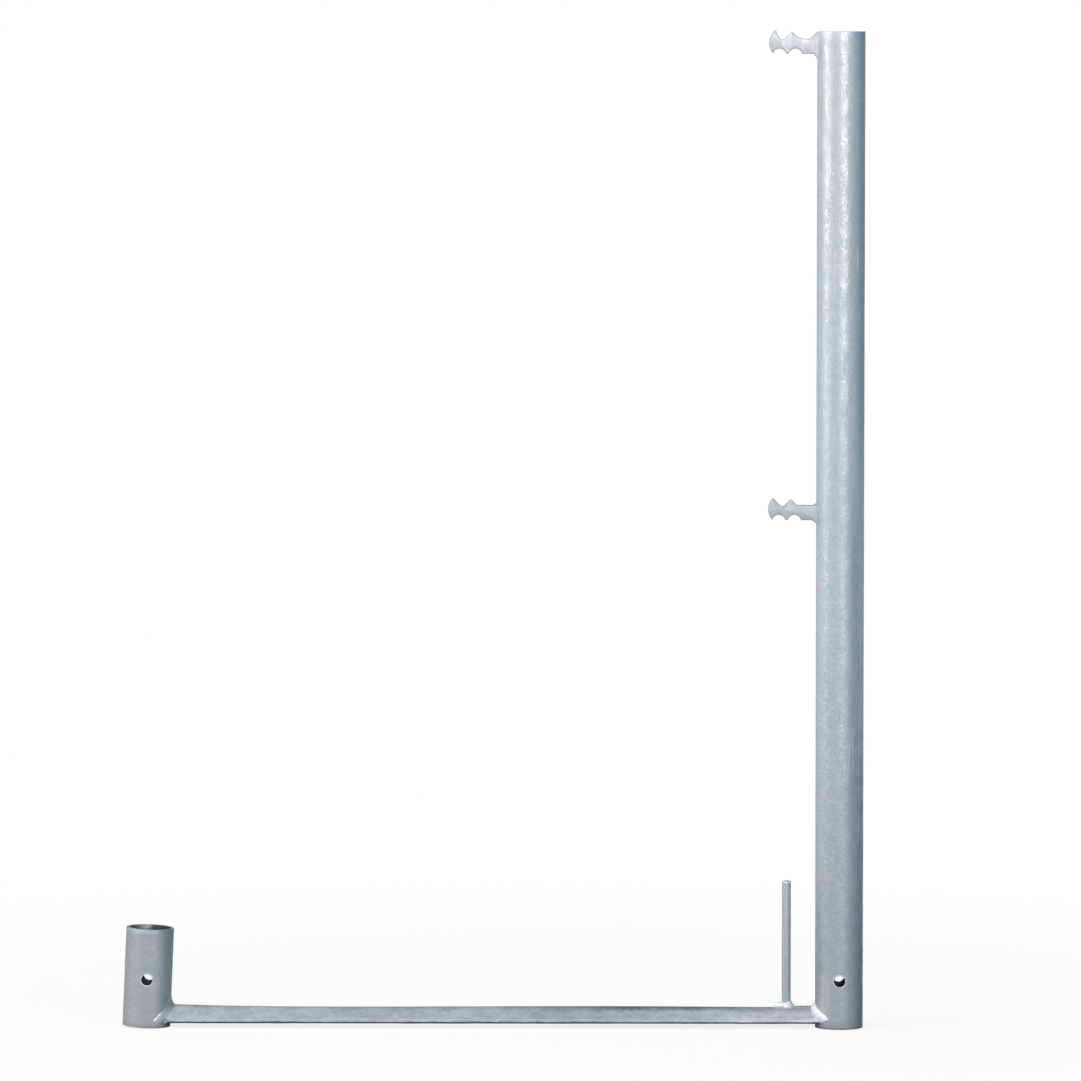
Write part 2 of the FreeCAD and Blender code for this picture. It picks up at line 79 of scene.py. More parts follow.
# The post stands upright on the origin, and the socket leans towards it and rests on the rim of its foot.
ORIGIN = Vector((0, 0, 0))
UP = Vector((0, 0, 1))
SOCKET_LEAN = math.radians(2.5)
SOCKET_AXIS = Vector((math.sin(SOCKET_LEAN), 0, math.cos(SOCKET_LEAN)))
SOCKET_CROSSING = Vector((-AXIS_SPACING, 0, RIDGE_HEIGHT))
SOCKET_RISE = RIM_RADIUS * math.sin(SOCKET_LEAN)
SOCKET_SETBACK = (RIDGE_HEIGHT - SOCKET_RISE) * math.tan(SOCKET_LEAN)
SOCKET_FOOT = Vector((-AXIS_SPACING - SOCKET_SETBACK, 0, SOCKET_RISE))


class Coat(Enum):
    """The zinc finishes, each by its slot in the record and, after a point, what sets it apart there. The
    socket's and the fillet's copies carry painted light and shade of their own.
    """

    POST = "galvanised_tube"
    # The socket's copy of the tube's zinc, with painted shade and light of its own.
    SOCKET = "galvanised_tube.socket"
    BAR = "galvanised_bar"
    ROD = "galvanised_rod"
    PLATE = "galvanised_plate"
    WELD = "weld_metal"
    # The fillet's copy of the weld metal: darker and warmer, with painted shade for the corner between the
    # socket and the bar.
    FILLET = "weld_metal.fillet"

    @property
    def slot(self) -> str:
        """The record's material slot."""
        return self.value.split(".")[0]


class Side(Enum):
    """The way that a surface looks, seen from the front: an axis and a sign."""

    ROUND = ("", 0.0)
    LEFT = ("X", -1.0)
    RIGHT = ("X", 1.0)
    TOP = ("Z", 1.0)


class Field(Enum):
    """Kinds of socket on a shared surface effect."""

    VALUE = "NodeSocketFloat"
    VECTOR = "NodeSocketVector"


class NodeDesk:
    """Lays out the nodes of one tree and joins them."""

    # The colour sockets of a Mix node share their names with others, so they go by number.
    MIX_SHARE, MIX_FIRST, MIX_SECOND, MIX_RESULT = 0, 6, 7, 2

    def __init__(self, tree: bpy.types.NodeTree) -> None:
        """Work on one node tree, from empty."""
        self.tree = tree
        tree.nodes.clear()

    def add(
        self, kind: str, inputs: dict[str | int, Source] | None = None, **settings: object
    ) -> bpy.types.Node:
        """Place a node.

        Args:
            kind: The node's type, without its leading words.
            inputs: Another node's output or a plain value for each input, by its name or number.
            settings: Properties of the node.

        Returns:
            The new node.
        """
        node = self.tree.nodes.new(f"ShaderNode{kind}")
        for name, value in settings.items():
            setattr(node, name, value)
        for socket, source in (inputs or {}).items():
            if isinstance(source, bpy.types.NodeSocket):
                self.tree.links.new(source, node.inputs[socket])
            else:
                node.inputs[socket].default_value = source
        return node

    def math(self, operation: str, first: Source, second: Source = 0.0) -> bpy.types.NodeSocket:
        """Work out one sum of two values."""
        return self.add("Math", {0: first, 1: second}, operation=operation).outputs[0]

    def times(self, *values: Source) -> bpy.types.NodeSocket:
        """Multiply values, in their order."""
        return reduce(lambda first, second: self.math("MULTIPLY", first, second), values)

    def plus(self, *values: Source) -> bpy.types.NodeSocket:
        """Add values up, in their order."""
        return reduce(lambda first, second: self.math("ADD", first, second), values)

    def scaled(self, vector: Source, factors: Source) -> bpy.types.NodeSocket:
        """Stretch a coordinate along each of its axes."""
        return self.add("VectorMath", {0: vector, 1: factors}, operation="MULTIPLY").outputs[0]

    def axes(self, vector: Source) -> bpy.types.NodeOutputs:
        """Split a coordinate into its axes."""
        return self.add("SeparateXYZ", {0: vector}).outputs

    def ramp(
        self, value: Source, low: Source, high: Source, out: Span = (0.0, 1.0)
    ) -> bpy.types.NodeSocket:
        """Map a value smoothly from one range to another.

        Args:
            value: The value.
            low: Where its range starts.
            high: Where its range ends.
            out: The range of the result.

        Returns:
            The result, which stays at the nearer end outside the range.
        """
        ends = {"From Min": low, "From Max": high, "To Min": out[0], "To Max": out[1]}
        node = self.add("MapRange", {"Value": value, **ends}, interpolation_type="SMOOTHSTEP")
        return node.outputs["Result"]

    def blend(
        self, share: Source, first: Source, second: Source, mode: str = "MIX"
    ) -> bpy.types.NodeSocket:
        """Blend a second colour over a first one.

        Args:
            share: How much of the second colour shows.
            first: The colour below.
            second: The colour above.
            mode: How they blend.

        Returns:
            The blended colour.
        """
        inputs = {
            self.MIX_SHARE: share,
            self.MIX_FIRST: self.solid(first),
            self.MIX_SECOND: self.solid(second),
        }
        return self.add("Mix", inputs, data_type="RGBA", blend_type=mode).outputs[self.MIX_RESULT]

    def noise(
        self, vector: Source, scale: Source, detail: float = 3.0, roughness: float = 0.55
    ) -> bpy.types.NodeSocket:
        """Read a soft noise between 0 and 1, with its scale in patches to a metre."""
        inputs = {"Vector": vector, "Scale": scale, "Detail": detail, "Roughness": roughness}
        return self.add("TexNoise", inputs).outputs["Fac"]

    @staticmethod
    def solid(colour: Source) -> Source:
        """Make a plain colour opaque, and leave another node's output as it is."""
        return (*colour, 1.0) if isinstance(colour, tuple) else colour


class EffectGroup:
    """A surface effect that several finishes share, kept as one node group."""

    def __init__(self, name: str, inputs: dict[str, Field], outputs: Sequence[str]) -> None:
        """Start a group with named sockets.

        Args:
            name: The effect's name.
            inputs: Each input's kind, by its name.
            outputs: Each output's name. All are plain values.
        """
        self.tree = bpy.data.node_groups.new(name, "ShaderNodeTree")
        self.desk = NodeDesk(self.tree)
        for label, kind in inputs.items():
            self.tree.interface.new_socket(name=label, in_out="INPUT", socket_type=kind.value)
        for label in outputs:
            self.tree.interface.new_socket(name=label, in_out="OUTPUT", socket_type=Field.VALUE.value)
        self.given = self.tree.nodes.new("NodeGroupInput").outputs
        self.outlet = self.tree.nodes.new("NodeGroupOutput")

    def put_out(self, label: str, source: bpy.types.NodeSocket) -> None:
        """Send a value to one of the group's outputs."""
        self.tree.links.new(source, self.outlet.inputs[label])

    def place(self, desk: NodeDesk, **values: Source) -> bpy.types.NodeOutputs:
        """Use the effect in a material, by its inputs' names with underscores for spaces."""
        inputs = {label.replace("_", " "): value for label, value in values.items()}
        return desk.add("Group", inputs, node_tree=self.tree).outputs


class ZincEffects:
    """The surface effects of a hot-dip zinc coat."""

    GRAIN_FINENESS = 4.5
    DRIFT_FINENESS = 0.4
    CRYSTAL_SOFTNESS = 0.3
    CLOUD_SHARE, GRAIN_SHARE, CRYSTAL_SHARE = 0.45, 0.35, 0.2
    CLOUD_HEIGHT, GRAIN_HEIGHT = 0.6, 0.4
    NOISE_SPAN = (0.3, 0.7)
    SHADE_SPAN = (0.08, 0.92)
    DRIFT_SPAN = (0.35, 0.65)
    SPECK_SOFTNESS = 0.07
    PATCH_FINENESS = 0.12
    PATCH_SPAN = (0.42, 0.62)

    def __init__(self) -> None:
        """Build each effect once."""
        self.mottle = self.build_mottle()
        self.streaks = self.build_streaks()
        self.specks = self.build_specks()

    def build_mottle(self) -> EffectGroup:
        """Cloudy patches of brighter and duller zinc, with a finer grain and faint crystals.

        Returns:
            The effect, with a shade, a tint and a height.
        """
        effect = EffectGroup(
            "zinc mottle",
            {"Vector": Field.VECTOR, "Cloud Scale": Field.VALUE, "Crystal Scale": Field.VALUE},
            ["Shade", "Tint", "Height"],
        )
        desk, place, scale = effect.desk, effect.given["Vector"], effect.given["Cloud Scale"]
        clouds = desk.noise(place, scale, detail=4.0, roughness=0.6)
        grain = desk.noise(place, desk.times(scale, self.GRAIN_FINENESS), roughness=0.6)
        cells = {"Vector": place, "Scale": effect.given["Crystal Scale"], "Smoothness": self.CRYSTAL_SOFTNESS}
        crystals = desk.add("TexVoronoi", cells, feature="SMOOTH_F1").outputs["Color"]
        flecks = desk.add("SeparateColor", {0: crystals}).outputs[0]
        shade = desk.plus(
            desk.times(desk.ramp(clouds, *self.NOISE_SPAN), self.CLOUD_SHARE),
            desk.times(desk.ramp(grain, *self.NOISE_SPAN), self.GRAIN_SHARE),
            desk.times(flecks, self.CRYSTAL_SHARE),
        )
        effect.put_out("Shade", desk.ramp(shade, *self.SHADE_SPAN))
        drift = desk.noise(place, desk.times(scale, self.DRIFT_FINENESS), detail=2.0)
        effect.put_out("Tint", desk.ramp(drift, *self.DRIFT_SPAN))
        lumps = desk.times(clouds, self.CLOUD_HEIGHT)
        effect.put_out("Height", desk.plus(lumps, desk.times(grain, self.GRAIN_HEIGHT)))
        return effect

    @staticmethod
    def build_streaks() -> EffectGroup:
        """Long marks left where the zinc drained, along the stretched axis.

        Returns:
            The effect, with a mask.
        """
        effect = EffectGroup(
            "drain streaks",
            {"Vector": Field.VECTOR, "Stretch": Field.VECTOR, "Start": Field.VALUE, "End": Field.VALUE},
            ["Mask"],
        )
        desk, given = effect.desk, effect.given
        marks = desk.noise(desk.scaled(given["Vector"], given["Stretch"]), 1.0, roughness=0.6)
        effect.put_out("Mask", desk.ramp(marks, given["Start"], given["End"]))
        return effect

    def build_specks(self) -> EffectGroup:
        """Small uneven specks and pits, gathered in loose patches.

        Returns:
            The effect, with a mask.
        """
        effect = EffectGroup(
            "dull specks", {"Vector": Field.VECTOR, "Scale": Field.VALUE, "Start": Field.VALUE}, ["Mask"]
        )
        desk, place, scale = effect.desk, effect.given["Vector"], effect.given["Scale"]
        start = effect.given["Start"]
        grains = desk.noise(place, scale, detail=2.0, roughness=0.5)
        spots = desk.ramp(grains, start, desk.plus(start, self.SPECK_SOFTNESS))
        patches = desk.noise(place, desk.times(scale, self.PATCH_FINENESS), detail=2.0)
        effect.put_out("Mask", desk.times(spots, desk.ramp(patches, *self.PATCH_SPAN)))
        return effect


@dataclass(frozen=True)
class Band:
    """A part of the zinc with another colour, which comes in from the start height to the full one. Most
    bands are painted light and shade.

    A side keeps it to the faces that look that way, so that it paints the light or shade of one side. A reach
    keeps it to a length of the frame: it fades in between the first two places along X and out between the
    last two. Its limit wavers with the patches.
    """

    colour: Triple
    start: float
    full: float
    share: float = 1.0
    side: Side = Side.ROUND
    edge: Span = (0.5, 0.9)
    reach: tuple[float, float, float, float] | None = None
    waver: float = 0.25

    def mask(
        self,
        desk: NodeDesk,
        axes: bpy.types.NodeOutputs,
        facing: bpy.types.NodeOutputs,
        shade: bpy.types.NodeSocket,
    ) -> bpy.types.NodeSocket:
        """Find where the band shows.

        Args:
            desk: The material's nodes.
            axes: The place, by axis.
            facing: The way that the surface faces, by axis.
            shade: The patches of brighter and duller zinc.

        Returns:
            How much of the band shows.
        """
        level = desk.plus(axes["Z"], desk.times(shade, self.waver * (self.start - self.full)))
        worn = desk.times(desk.ramp(level, self.start, self.full), self.share)
        if self.side is not Side.ROUND:
            axis, sign = self.side.value
            worn = desk.times(worn, desk.ramp(desk.times(facing[axis], sign), *self.edge))
        if self.reach:
            fade_in, whole, until, gone = self.reach
            worn = desk.times(worn, desk.ramp(axes["X"], fade_in, whole), desk.ramp(axes["X"], gone, until))
        return worn


@dataclass(frozen=True)
class ZincFinish:
    """A zinc-coated surface: bright and dull patches, drain marks, specks, bands that are mostly painted
    light and shade, and painted shade in the bores.
    """

    coat: Coat
    bright: Triple
    dull: Triple
    stain_and_shade: Triple
    tint: Triple = (0.95, 0.99, 1.0)
    metallic: float = 0.85
    gloss: Span = (0.36, 0.52)
    cloud_scale: float = 110.0
    crystal_scale: float = 190.0
    grain: Triple = (1.0, 1.0, 0.7)
    stretch: Triple = (170.0, 170.0, 22.0)
    streak_span: Span = (0.5, 0.72)
    streak_share: float = 0.14
    speck_scale: float = 420.0
    speck_start: float = 0.64
    speck_share: float = 0.4
    speck_roughness: float = 0.12
    speck_depth: float = 0.12
    relief: float = 0.6
    relief_depth: float = 1.1 * MM
    bands: tuple[Band, ...] = ()
    # Cut edges: duller zinc, with painted shade on those that face upwards.
    cut_edge: float = 0.0
    cut_across: Span = (0.6, 1.0)
    cut_upwards: Span = (-0.5, 0.4)
    cut_roughness: float = 0.25
    # Painted shade in the tubes' bores: its share, its colour and where it reaches.
    bore_shadow: float = 0.0
    bore_shadow_colour: Triple = (0.04, 0.045, 0.055)
    bore_inwards: Span = (-2 * MM, -12 * MM)
    bore_across: Span = (-1 * MM, 7 * MM)
    bore_least: float = 0.05

    def material(self, effects: ZincEffects) -> bpy.types.Material:
        """Make the finish's material.

        Args:
            effects: The shared surface effects.

        Returns:
            The material.
        """
        material = bpy.data.materials.new(self.coat.value)
        material.use_nodes = True
        desk = NodeDesk(material.node_tree)
        here = desk.add("TexCoord").outputs
        place, axes, facing = here["Object"], desk.axes(here["Object"]), desk.axes(here["Normal"])
        start, end = self.streak_span
        drained = effects.streaks.place(desk, Vector=place, Stretch=self.stretch, Start=start, End=end)
        pitted = effects.specks.place(desk, Vector=place, Scale=self.speck_scale, Start=self.speck_start)
        mottle = effects.mottle.place(
            desk,
            Vector=desk.scaled(place, self.grain),
            Cloud_Scale=self.cloud_scale,
            Crystal_Scale=self.crystal_scale,
        )
        shade, streaks, specks = mottle["Shade"], drained["Mask"], pitted["Mask"]

        colour = desk.blend(shade, self.dull, self.bright)
        colour = desk.blend(mottle["Tint"], colour, self.tint, "MULTIPLY")
        glossy, matt = self.gloss
        roughness = desk.ramp(shade, 0.0, 1.0, (matt, glossy))
        roughness = desk.plus(roughness, desk.times(specks, self.speck_roughness))
        # Darker, rougher cut edges: duller zinc, with painted shade where they face upwards.
        if self.cut_edge:
            cut = self.cut_faces(desk, facing)
            colour = desk.blend(cut, colour, self.stain_and_shade)
            roughness = desk.plus(roughness, desk.times(cut, self.cut_roughness))
        # Painted shade inside the tubes' bores.
        if self.bore_shadow:
            colour = desk.blend(self.shaded_bores(desk, axes, facing), colour, self.bore_shadow_colour)
        for band in self.bands:
            colour = desk.blend(band.mask(desk, axes, facing, shade), colour, band.colour, "MULTIPLY")
        colour = desk.blend(desk.times(streaks, self.streak_share), colour, self.stain_and_shade)
        colour = desk.blend(desk.times(specks, self.speck_share), colour, self.stain_and_shade)

        height = desk.plus(mottle["Height"], desk.times(specks, -self.speck_depth))
        relief = {"Strength": self.relief, "Distance": self.relief_depth, "Height": height}
        normal = desk.add("Bump", relief).outputs["Normal"]
        looks = {"Base Color": colour, "Metallic": self.metallic, "Roughness": roughness, "Normal": normal}
        shader = desk.add("BsdfPrincipled", looks)
        desk.add("OutputMaterial", {"Surface": shader.outputs["BSDF"]})
        return material

    def cut_faces(self, desk: NodeDesk, facing: bpy.types.NodeOutputs) -> bpy.types.NodeSocket:
        """Find how much darkening shows on a plate's cut edges where they look upwards: duller zinc on the
        cut, and painted shade that dims the lamps' highlight on the upper flanks.
        """
        off_face = desk.ramp(desk.math("ABSOLUTE", facing["Y"]), *self.cut_across, (self.cut_edge, 0.0))
        return desk.times(off_face, desk.ramp(facing["Z"], *self.cut_upwards))

    def shaded_bores(
        self, desk: NodeDesk, axes: bpy.types.NodeOutputs, facing: bpy.types.NodeOutputs
    ) -> bpy.types.NodeSocket:
        """Find the inner walls of the two tubes, for painted shade inside them, darkest on the side of +X.

        Args:
            desk: The material's nodes.
            axes: The place, by axis.
            facing: The way that the surface faces, by axis.

        Returns:
            How much of the dull shade shows.
        """
        at_socket = desk.math("LESS_THAN", axes["X"], -0.5 * AXIS_SPACING)
        off_axis = desk.plus(axes["X"], desk.times(at_socket, AXIS_SPACING))
        outward = desk.plus(desk.times(off_axis, facing["X"]), desk.times(axes["Y"], facing["Y"]))
        inside = desk.ramp(outward, *self.bore_inwards)
        across = desk.ramp(off_axis, *self.bore_across, (self.bore_least, 1.0))
        return desk.times(inside, across, self.bore_shadow)


class Bench:
    """The workbench: one piece at a time is picked up, shaped and put in its place."""

    def __init__(self, materials: dict[Coat, bpy.types.Material]) -> None:
        """Keep the material of each finish at hand."""
        self.materials = materials

    @staticmethod
    def hold(piece: bpy.types.Object) -> None:
        """Pick up one piece and nothing else.

        Args:
            piece: The piece.
        """
        bpy.ops.object.select_all(action="DESELECT")
        piece.select_set(True)
        bpy.context.view_layer.objects.active = piece

    @staticmethod
    def named(piece: bpy.types.Object, name: str) -> bpy.types.Object:
        """Name a piece and its mesh.

        Args:
            piece: The piece.
            name: The name for both.

        Returns:
            The same piece.
        """
        piece.name = name
        piece.data.name = name
        return piece

    @classmethod
    def fresh(cls, primitive: Callable[..., set[str]], name: str, **sizes: object) -> bpy.types.Object:
        """Start a piece from a primitive, with everything else put down.

        Args:
            primitive: The operator that adds it.
            name: The piece's name.
            sizes: The operator's settings.

        Returns:
            The new piece, with its place in its mesh.
        """
        bpy.ops.object.select_all(action="DESELECT")
        primitive(**sizes)
        piece = bpy.context.active_object
        cls.settle(piece)
        return cls.named(piece, name)

    @classmethod
    @contextmanager
    def editing(cls, piece: bpy.types.Object, element: str, start: str = "DESELECT") -> Iterator[None]:
        """Work inside a piece's mesh.

        Args:
            piece: The piece to work on.
            element: Which kind of element is selected: VERT, EDGE or FACE.
            start: DESELECT to start with nothing selected, SELECT to start with everything.

        Returns:
            The block in which the mesh is open.
        """
        cls.hold(piece)
        bpy.ops.object.mode_set(mode="EDIT")
        bpy.ops.mesh.select_mode(type=element)
        bpy.ops.mesh.select_all(action=start)
        yield
        bpy.ops.object.mode_set(mode="OBJECT")

    @staticmethod
    def pick_edges(piece: bpy.types.Object, wanted: Callable[[Vector, Vector], bool]) -> None:
        """Select edges by the place of their ends.

        Args:
            piece: A piece whose mesh is open for work.
            wanted: A test of the two ends.
        """
        mesh = bmesh.from_edit_mesh(piece.data)
        for edge in mesh.edges:
            edge.select_set(wanted(edge.verts[0].co, edge.verts[1].co))
        bmesh.update_edit_mesh(piece.data)

    @classmethod
    def apply(cls, piece: bpy.types.Object, kind: str, **settings: object) -> None:
        """Run one modifier over a piece and make it permanent.

        Args:
            piece: The piece to work on.
            kind: The modifier's type.
            settings: The modifier's properties.
        """
        cls.hold(piece)
        modifier = piece.modifiers.new(kind.lower(), kind)
        for name, value in settings.items():
            setattr(modifier, name, value)
        bpy.ops.object.modifier_apply(modifier=modifier.name)

    @classmethod
    def roughen(cls, piece: bpy.types.Object, size: float, depth: float) -> None:
        """Give a piece's surface soft, uneven waves.

        Args:
            piece: The piece to work on.
            size: The width of a wave.
            depth: The height from the lowest point to the highest.
        """
        waves = bpy.data.textures.new(f"{piece.name}_waves", "CLOUDS")
        waves.noise_scale = size
        cls.apply(piece, "DISPLACE", texture=waves, strength=depth, mid_level=0.5)

    @classmethod
    def turn_outwards(cls, piece: bpy.types.Object) -> None:
        """Make a piece's faces point outwards."""
        with cls.editing(piece, "FACE", "SELECT"):
            bpy.ops.mesh.normals_make_consistent(inside=False)

    @classmethod
    def smooth(cls, piece: bpy.types.Object, degrees: float) -> None:
        """Shade a piece smoothly, apart from edges that are sharper than an angle."""
        cls.hold(piece)
        bpy.ops.object.shade_smooth_by_angle(angle=math.radians(degrees))

    @classmethod
    def settle(cls, piece: bpy.types.Object) -> None:
        """Put a piece's place, turn and size into its mesh."""
        cls.hold(piece)
        bpy.ops.object.transform_apply(location=True, rotation=True, scale=True)

    @classmethod
    def joined(cls, pieces: Sequence[bpy.types.Object], name: str) -> bpy.types.Object:
        """Join several pieces into one, with its place in its mesh.

        Args:
            pieces: The pieces to join.
            name: The joined piece's name.

        Returns:
            The joined piece.
        """
        cls.hold(pieces[0])
        for piece in pieces:
            piece.select_set(True)
        bpy.ops.object.join()
        whole = bpy.context.view_layer.objects.active
        cls.settle(whole)
        return cls.named(whole, name)

    @staticmethod
    def copied(piece: bpy.types.Object) -> bpy.types.Object:
        """Copy a piece with a mesh of its own.

        Args:
            piece: The piece to copy.

        Returns:
            The copy.
        """
        twin = bpy.data.objects.new(piece.name, piece.data.copy())
        bpy.context.scene.collection.objects.link(twin)
        return twin

    @classmethod
    def merged_node(cls, node: str) -> bpy.types.Object:
        """Copy a solid of the frame and merge its loose triangles into flat faces.

        Args:
            node: The solid's name.

        Returns:
            The merged copy.
        """
        piece = cls.named(cls.copied(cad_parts[node]), f"{node}_coat")
        piece.data.materials.clear()
        with cls.editing(piece, "VERT", "SELECT"):
            bpy.ops.mesh.customdata_custom_splitnormals_clear()
            bpy.ops.mesh.remove_doubles(threshold=0.002 * MM)
            bpy.ops.mesh.dissolve_limited(angle_limit=math.radians(0.4))
        return piece

    def dress(self, piece: bpy.types.Object, coat: Coat, *nodes: str) -> None:
        """Give a piece its finish and its place on the frame.

        Args:
            piece: The finished shape.
            coat: Its finish.
            nodes: The solids that it stands for.
        """
        piece.data.materials.clear()
        piece.data.materials.append(self.materials[coat])
        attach(piece, BODY)
        if nodes:
            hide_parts(*nodes)
        log.info("%s: %d faces", piece.name, len(piece.data.polygons))


def roof_height(across: float) -> float:
    """Height of the folded bar's upper faces.

    Args:
        across: Distance from the bar's middle plane.

    Returns:
        The height above the foot of the post.
    """
    if abs(across) < FOLD_RADIUS / math.sqrt(2):
        return RIDGE_HEIGHT - FOLD_RADIUS * math.sqrt(2) + math.sqrt(FOLD_RADIUS**2 - across**2)
    return RIDGE_HEIGHT - abs(across)


@dataclass
class TubeWork:
    """A length of scaffold tube with softened rims and a cross hole above its foot."""

    node: str
    length: float
    foot: Vector
    lean: float
    coat: Coat
    sides: int = 128
    ring_spacing: float = 6 * MM
    ripple_size: float = 30 * MM
    ripple: float = 0.22 * MM
    rim: float = 0.7 * MM
    near: float = 0.5 * MM
    touch: float = 0.01 * MM
    hole_radius: float = 5.75 * MM
    hole_height: float = 49 * MM
    hole_sides: int = 48
    lip: float = 0.85 * MM
    lip_spread: float = 0.8
    lip_sink: float = 0.55
    lip_thickness: float = 0.6

    def build(self, bench: Bench) -> None:
        """Model the tube and the zinc lips of its cross hole, and dress them.

        Args:
            bench: The workbench.
        """
        tube = self.wall()
        self.drill(tube)
        bench.smooth(tube, degrees=32)
        self.stand(tube)
        bench.dress(tube, self.coat, self.node)
        lips = self.hole_lips()
        self.stand(lips)
        bench.dress(lips, Coat.WELD)

    def wall(self) -> bpy.types.Object:
        """Model the plain wall, upright on the origin.

        Returns:
            The tube before its hole is drilled.
        """
        tube = Bench.fresh(
            bpy.ops.mesh.primitive_cylinder_add,
            f"{self.node}_coat",
            vertices=self.sides,
            radius=TUBE_RADIUS,
            depth=self.length,
            end_fill_type="NOTHING",
            location=(0, 0, self.length / 2),
        )
        with Bench.editing(tube, "EDGE"):
            Bench.pick_edges(tube, lambda a, b: abs(a.z - b.z) > self.length / 2)
            bpy.ops.mesh.subdivide(number_cuts=round(self.length / self.ring_spacing))
        Bench.roughen(tube, self.ripple_size, self.ripple)
        Bench.apply(tube, "SOLIDIFY", thickness=TUBE_WALL, offset=-1.0, use_even_offset=True)
        for vertex in tube.data.vertices:
            if vertex.co.z < self.near:
                vertex.co.z = 0.0
            elif vertex.co.z > self.length - self.near:
                vertex.co.z = self.length
        with Bench.editing(tube, "EDGE"):
            Bench.pick_edges(tube, self.is_rim)
            bpy.ops.mesh.bevel(offset=self.rim, offset_type="OFFSET", segments=3, affect="EDGES")
        return tube

    def is_rim(self, first: Vector, second: Vector) -> bool:
        """Tell whether an edge runs round one of the tube's mouths.

        Args:
            first: One end of the edge.
            second: The other end.

        Returns:
            Whether both ends are at one mouth and on the same wall.
        """
        level = abs(first.z - second.z) < self.touch
        at_mouth = first.z < self.touch or first.z > self.length - self.touch
        same_wall = abs(first.xy.length - second.xy.length) < TUBE_WALL / 4
        return level and at_mouth and same_wall

    def drill(self, tube: bpy.types.Object) -> None:
        """Bore the cross hole through both walls.

        Args:
            tube: The plain tube.
        """
        drill = Bench.fresh(
            bpy.ops.mesh.primitive_cylinder_add,
            "drill",
            vertices=self.hole_sides,
            radius=self.hole_radius,
            depth=4 * TUBE_RADIUS,
            location=(0, 0, self.hole_height),
            rotation=(math.pi / 2, 0, 0),
        )
        Bench.apply(tube, "BOOLEAN", operation="DIFFERENCE", object=drill, solver="EXACT")
        bpy.data.objects.remove(drill)

    def hole_lips(self) -> bpy.types.Object:
        """Model the thin roll of zinc round each mouth of the cross hole.

        Returns:
            Both lips as one piece.
        """
        lips = []
        for side in (-1, 1):
            lip = Bench.fresh(
                bpy.ops.mesh.primitive_torus_add,
                "lip",
                major_radius=self.hole_radius + self.lip_spread * self.lip,
                minor_radius=self.lip,
                major_segments=self.hole_sides,
                minor_segments=10,
                rotation=(math.pi / 2, 0, 0),
            )
            for vertex in lip.data.vertices:
                reach = math.sqrt(TUBE_RADIUS**2 - vertex.co.x**2) - self.lip_sink * self.lip
                vertex.co.y = side * reach + self.lip_thickness * vertex.co.y
                vertex.co.z += self.hole_height
            lips.append(lip)
        whole = Bench.joined(lips, f"{self.node}_hole_lips")
        Bench.smooth(whole, degrees=60)
        return whole

    def stand(self, piece: bpy.types.Object) -> None:
        """Lean a piece and stand it on the tube's foot.

        Args:
            piece: The piece, modelled upright on the origin.
        """
        piece.rotation_euler = (0, self.lean, 0)
        piece.location = self.foot
        Bench.settle(piece)


@dataclass
class FootBar:
    """The folded bar between the two tubes, with the zinc that gathered along its lower edges."""

    node: str = "cross_bar"
    roll: float = 1.55 * MM
    roll_depth: float = 1.15 * MM
    roll_setback: float = 0.6 * MM
    roll_ends: Span = (-681.5 * MM, -18.8 * MM)
    roll_sides: int = 20
    roll_cuts: int = 110
    roll_wave_size: float = 18 * MM
    roll_wave: float = 0.45 * MM
    rows: int = 56
    end_rise: float = 2.0 * MM
    end_length: float = 45 * MM
    wave_rise: float = 0.4 * MM
    wave_length: float = 480 * MM
    wave_top: float = -253 * MM

    def build(self, bench: Bench) -> None:
        """Shape the bar's fold, roll its lower edges and dress both.

        Args:
            bench: The workbench.
        """
        bar = bench.merged_node(self.node)
        start, end = self.roll_ends
        with bench.editing(bar, "FACE"):
            for row in range(1, self.rows):
                bpy.ops.mesh.select_all(action="SELECT")
                station = start + (end - start) * row / self.rows
                bpy.ops.mesh.bisect(plane_co=(station, 0, 0), plane_no=(1, 0, 0))
        foot = min(vertex.co.z for vertex in bar.data.vertices)
        for vertex in bar.data.vertices:
            upper = (vertex.co.z - foot) / (CREST_HEIGHT - foot)
            vertex.co.z += upper * self.crest_drift(vertex.co.x)
        bench.smooth(bar, degrees=24)
        bench.dress(bar, Coat.BAR, self.node)
        rolls = bench.joined([self.edge_roll(side) for side in (-1, 1)], "bar_edge_rolls")
        bench.smooth(rolls, degrees=60)
        bench.dress(rolls, Coat.BAR)

    def crest_drift(self, reach: float) -> float:
        """Height of the fold's crest off its straight line: up at the socket's end, a slow wave elsewhere.

        Args:
            reach: Distance along X.

        Returns:
            The difference in height.
        """
        from_socket = reach + AXIS_SPACING - TUBE_RADIUS
        wave = self.wave_rise * math.cos(2 * math.pi * (reach - self.wave_top) / self.wave_length)
        return self.end_rise * math.exp(-from_socket / self.end_length) + wave

    def edge_roll(self, side: int) -> bpy.types.Object:
        """Model the round, slightly uneven roll of zinc along one lower edge.

        Args:
            side: -1 for the front edge, 1 for the back edge.

        Returns:
            The roll.
        """
        middle = (BAR_LEG - self.roll_setback - self.roll_depth) / math.sqrt(2)
        height = RIDGE_HEIGHT - (BAR_LEG - self.roll_setback + self.roll_depth) / math.sqrt(2)
        start, end = self.roll_ends
        roll = Bench.fresh(
            bpy.ops.mesh.primitive_cylinder_add,
            "edge_roll",
            vertices=self.roll_sides,
            radius=self.roll,
            depth=end - start,
            location=((start + end) / 2, side * middle, height),
            rotation=(0, math.pi / 2, 0),
        )
        with Bench.editing(roll, "EDGE"):
            Bench.pick_edges(roll, lambda a, b: abs(a.x - b.x) > (end - start) / 2)
            bpy.ops.mesh.subdivide(number_cuts=self.roll_cuts)
        Bench.roughen(roll, self.roll_wave_size, self.roll_wave)
        return roll


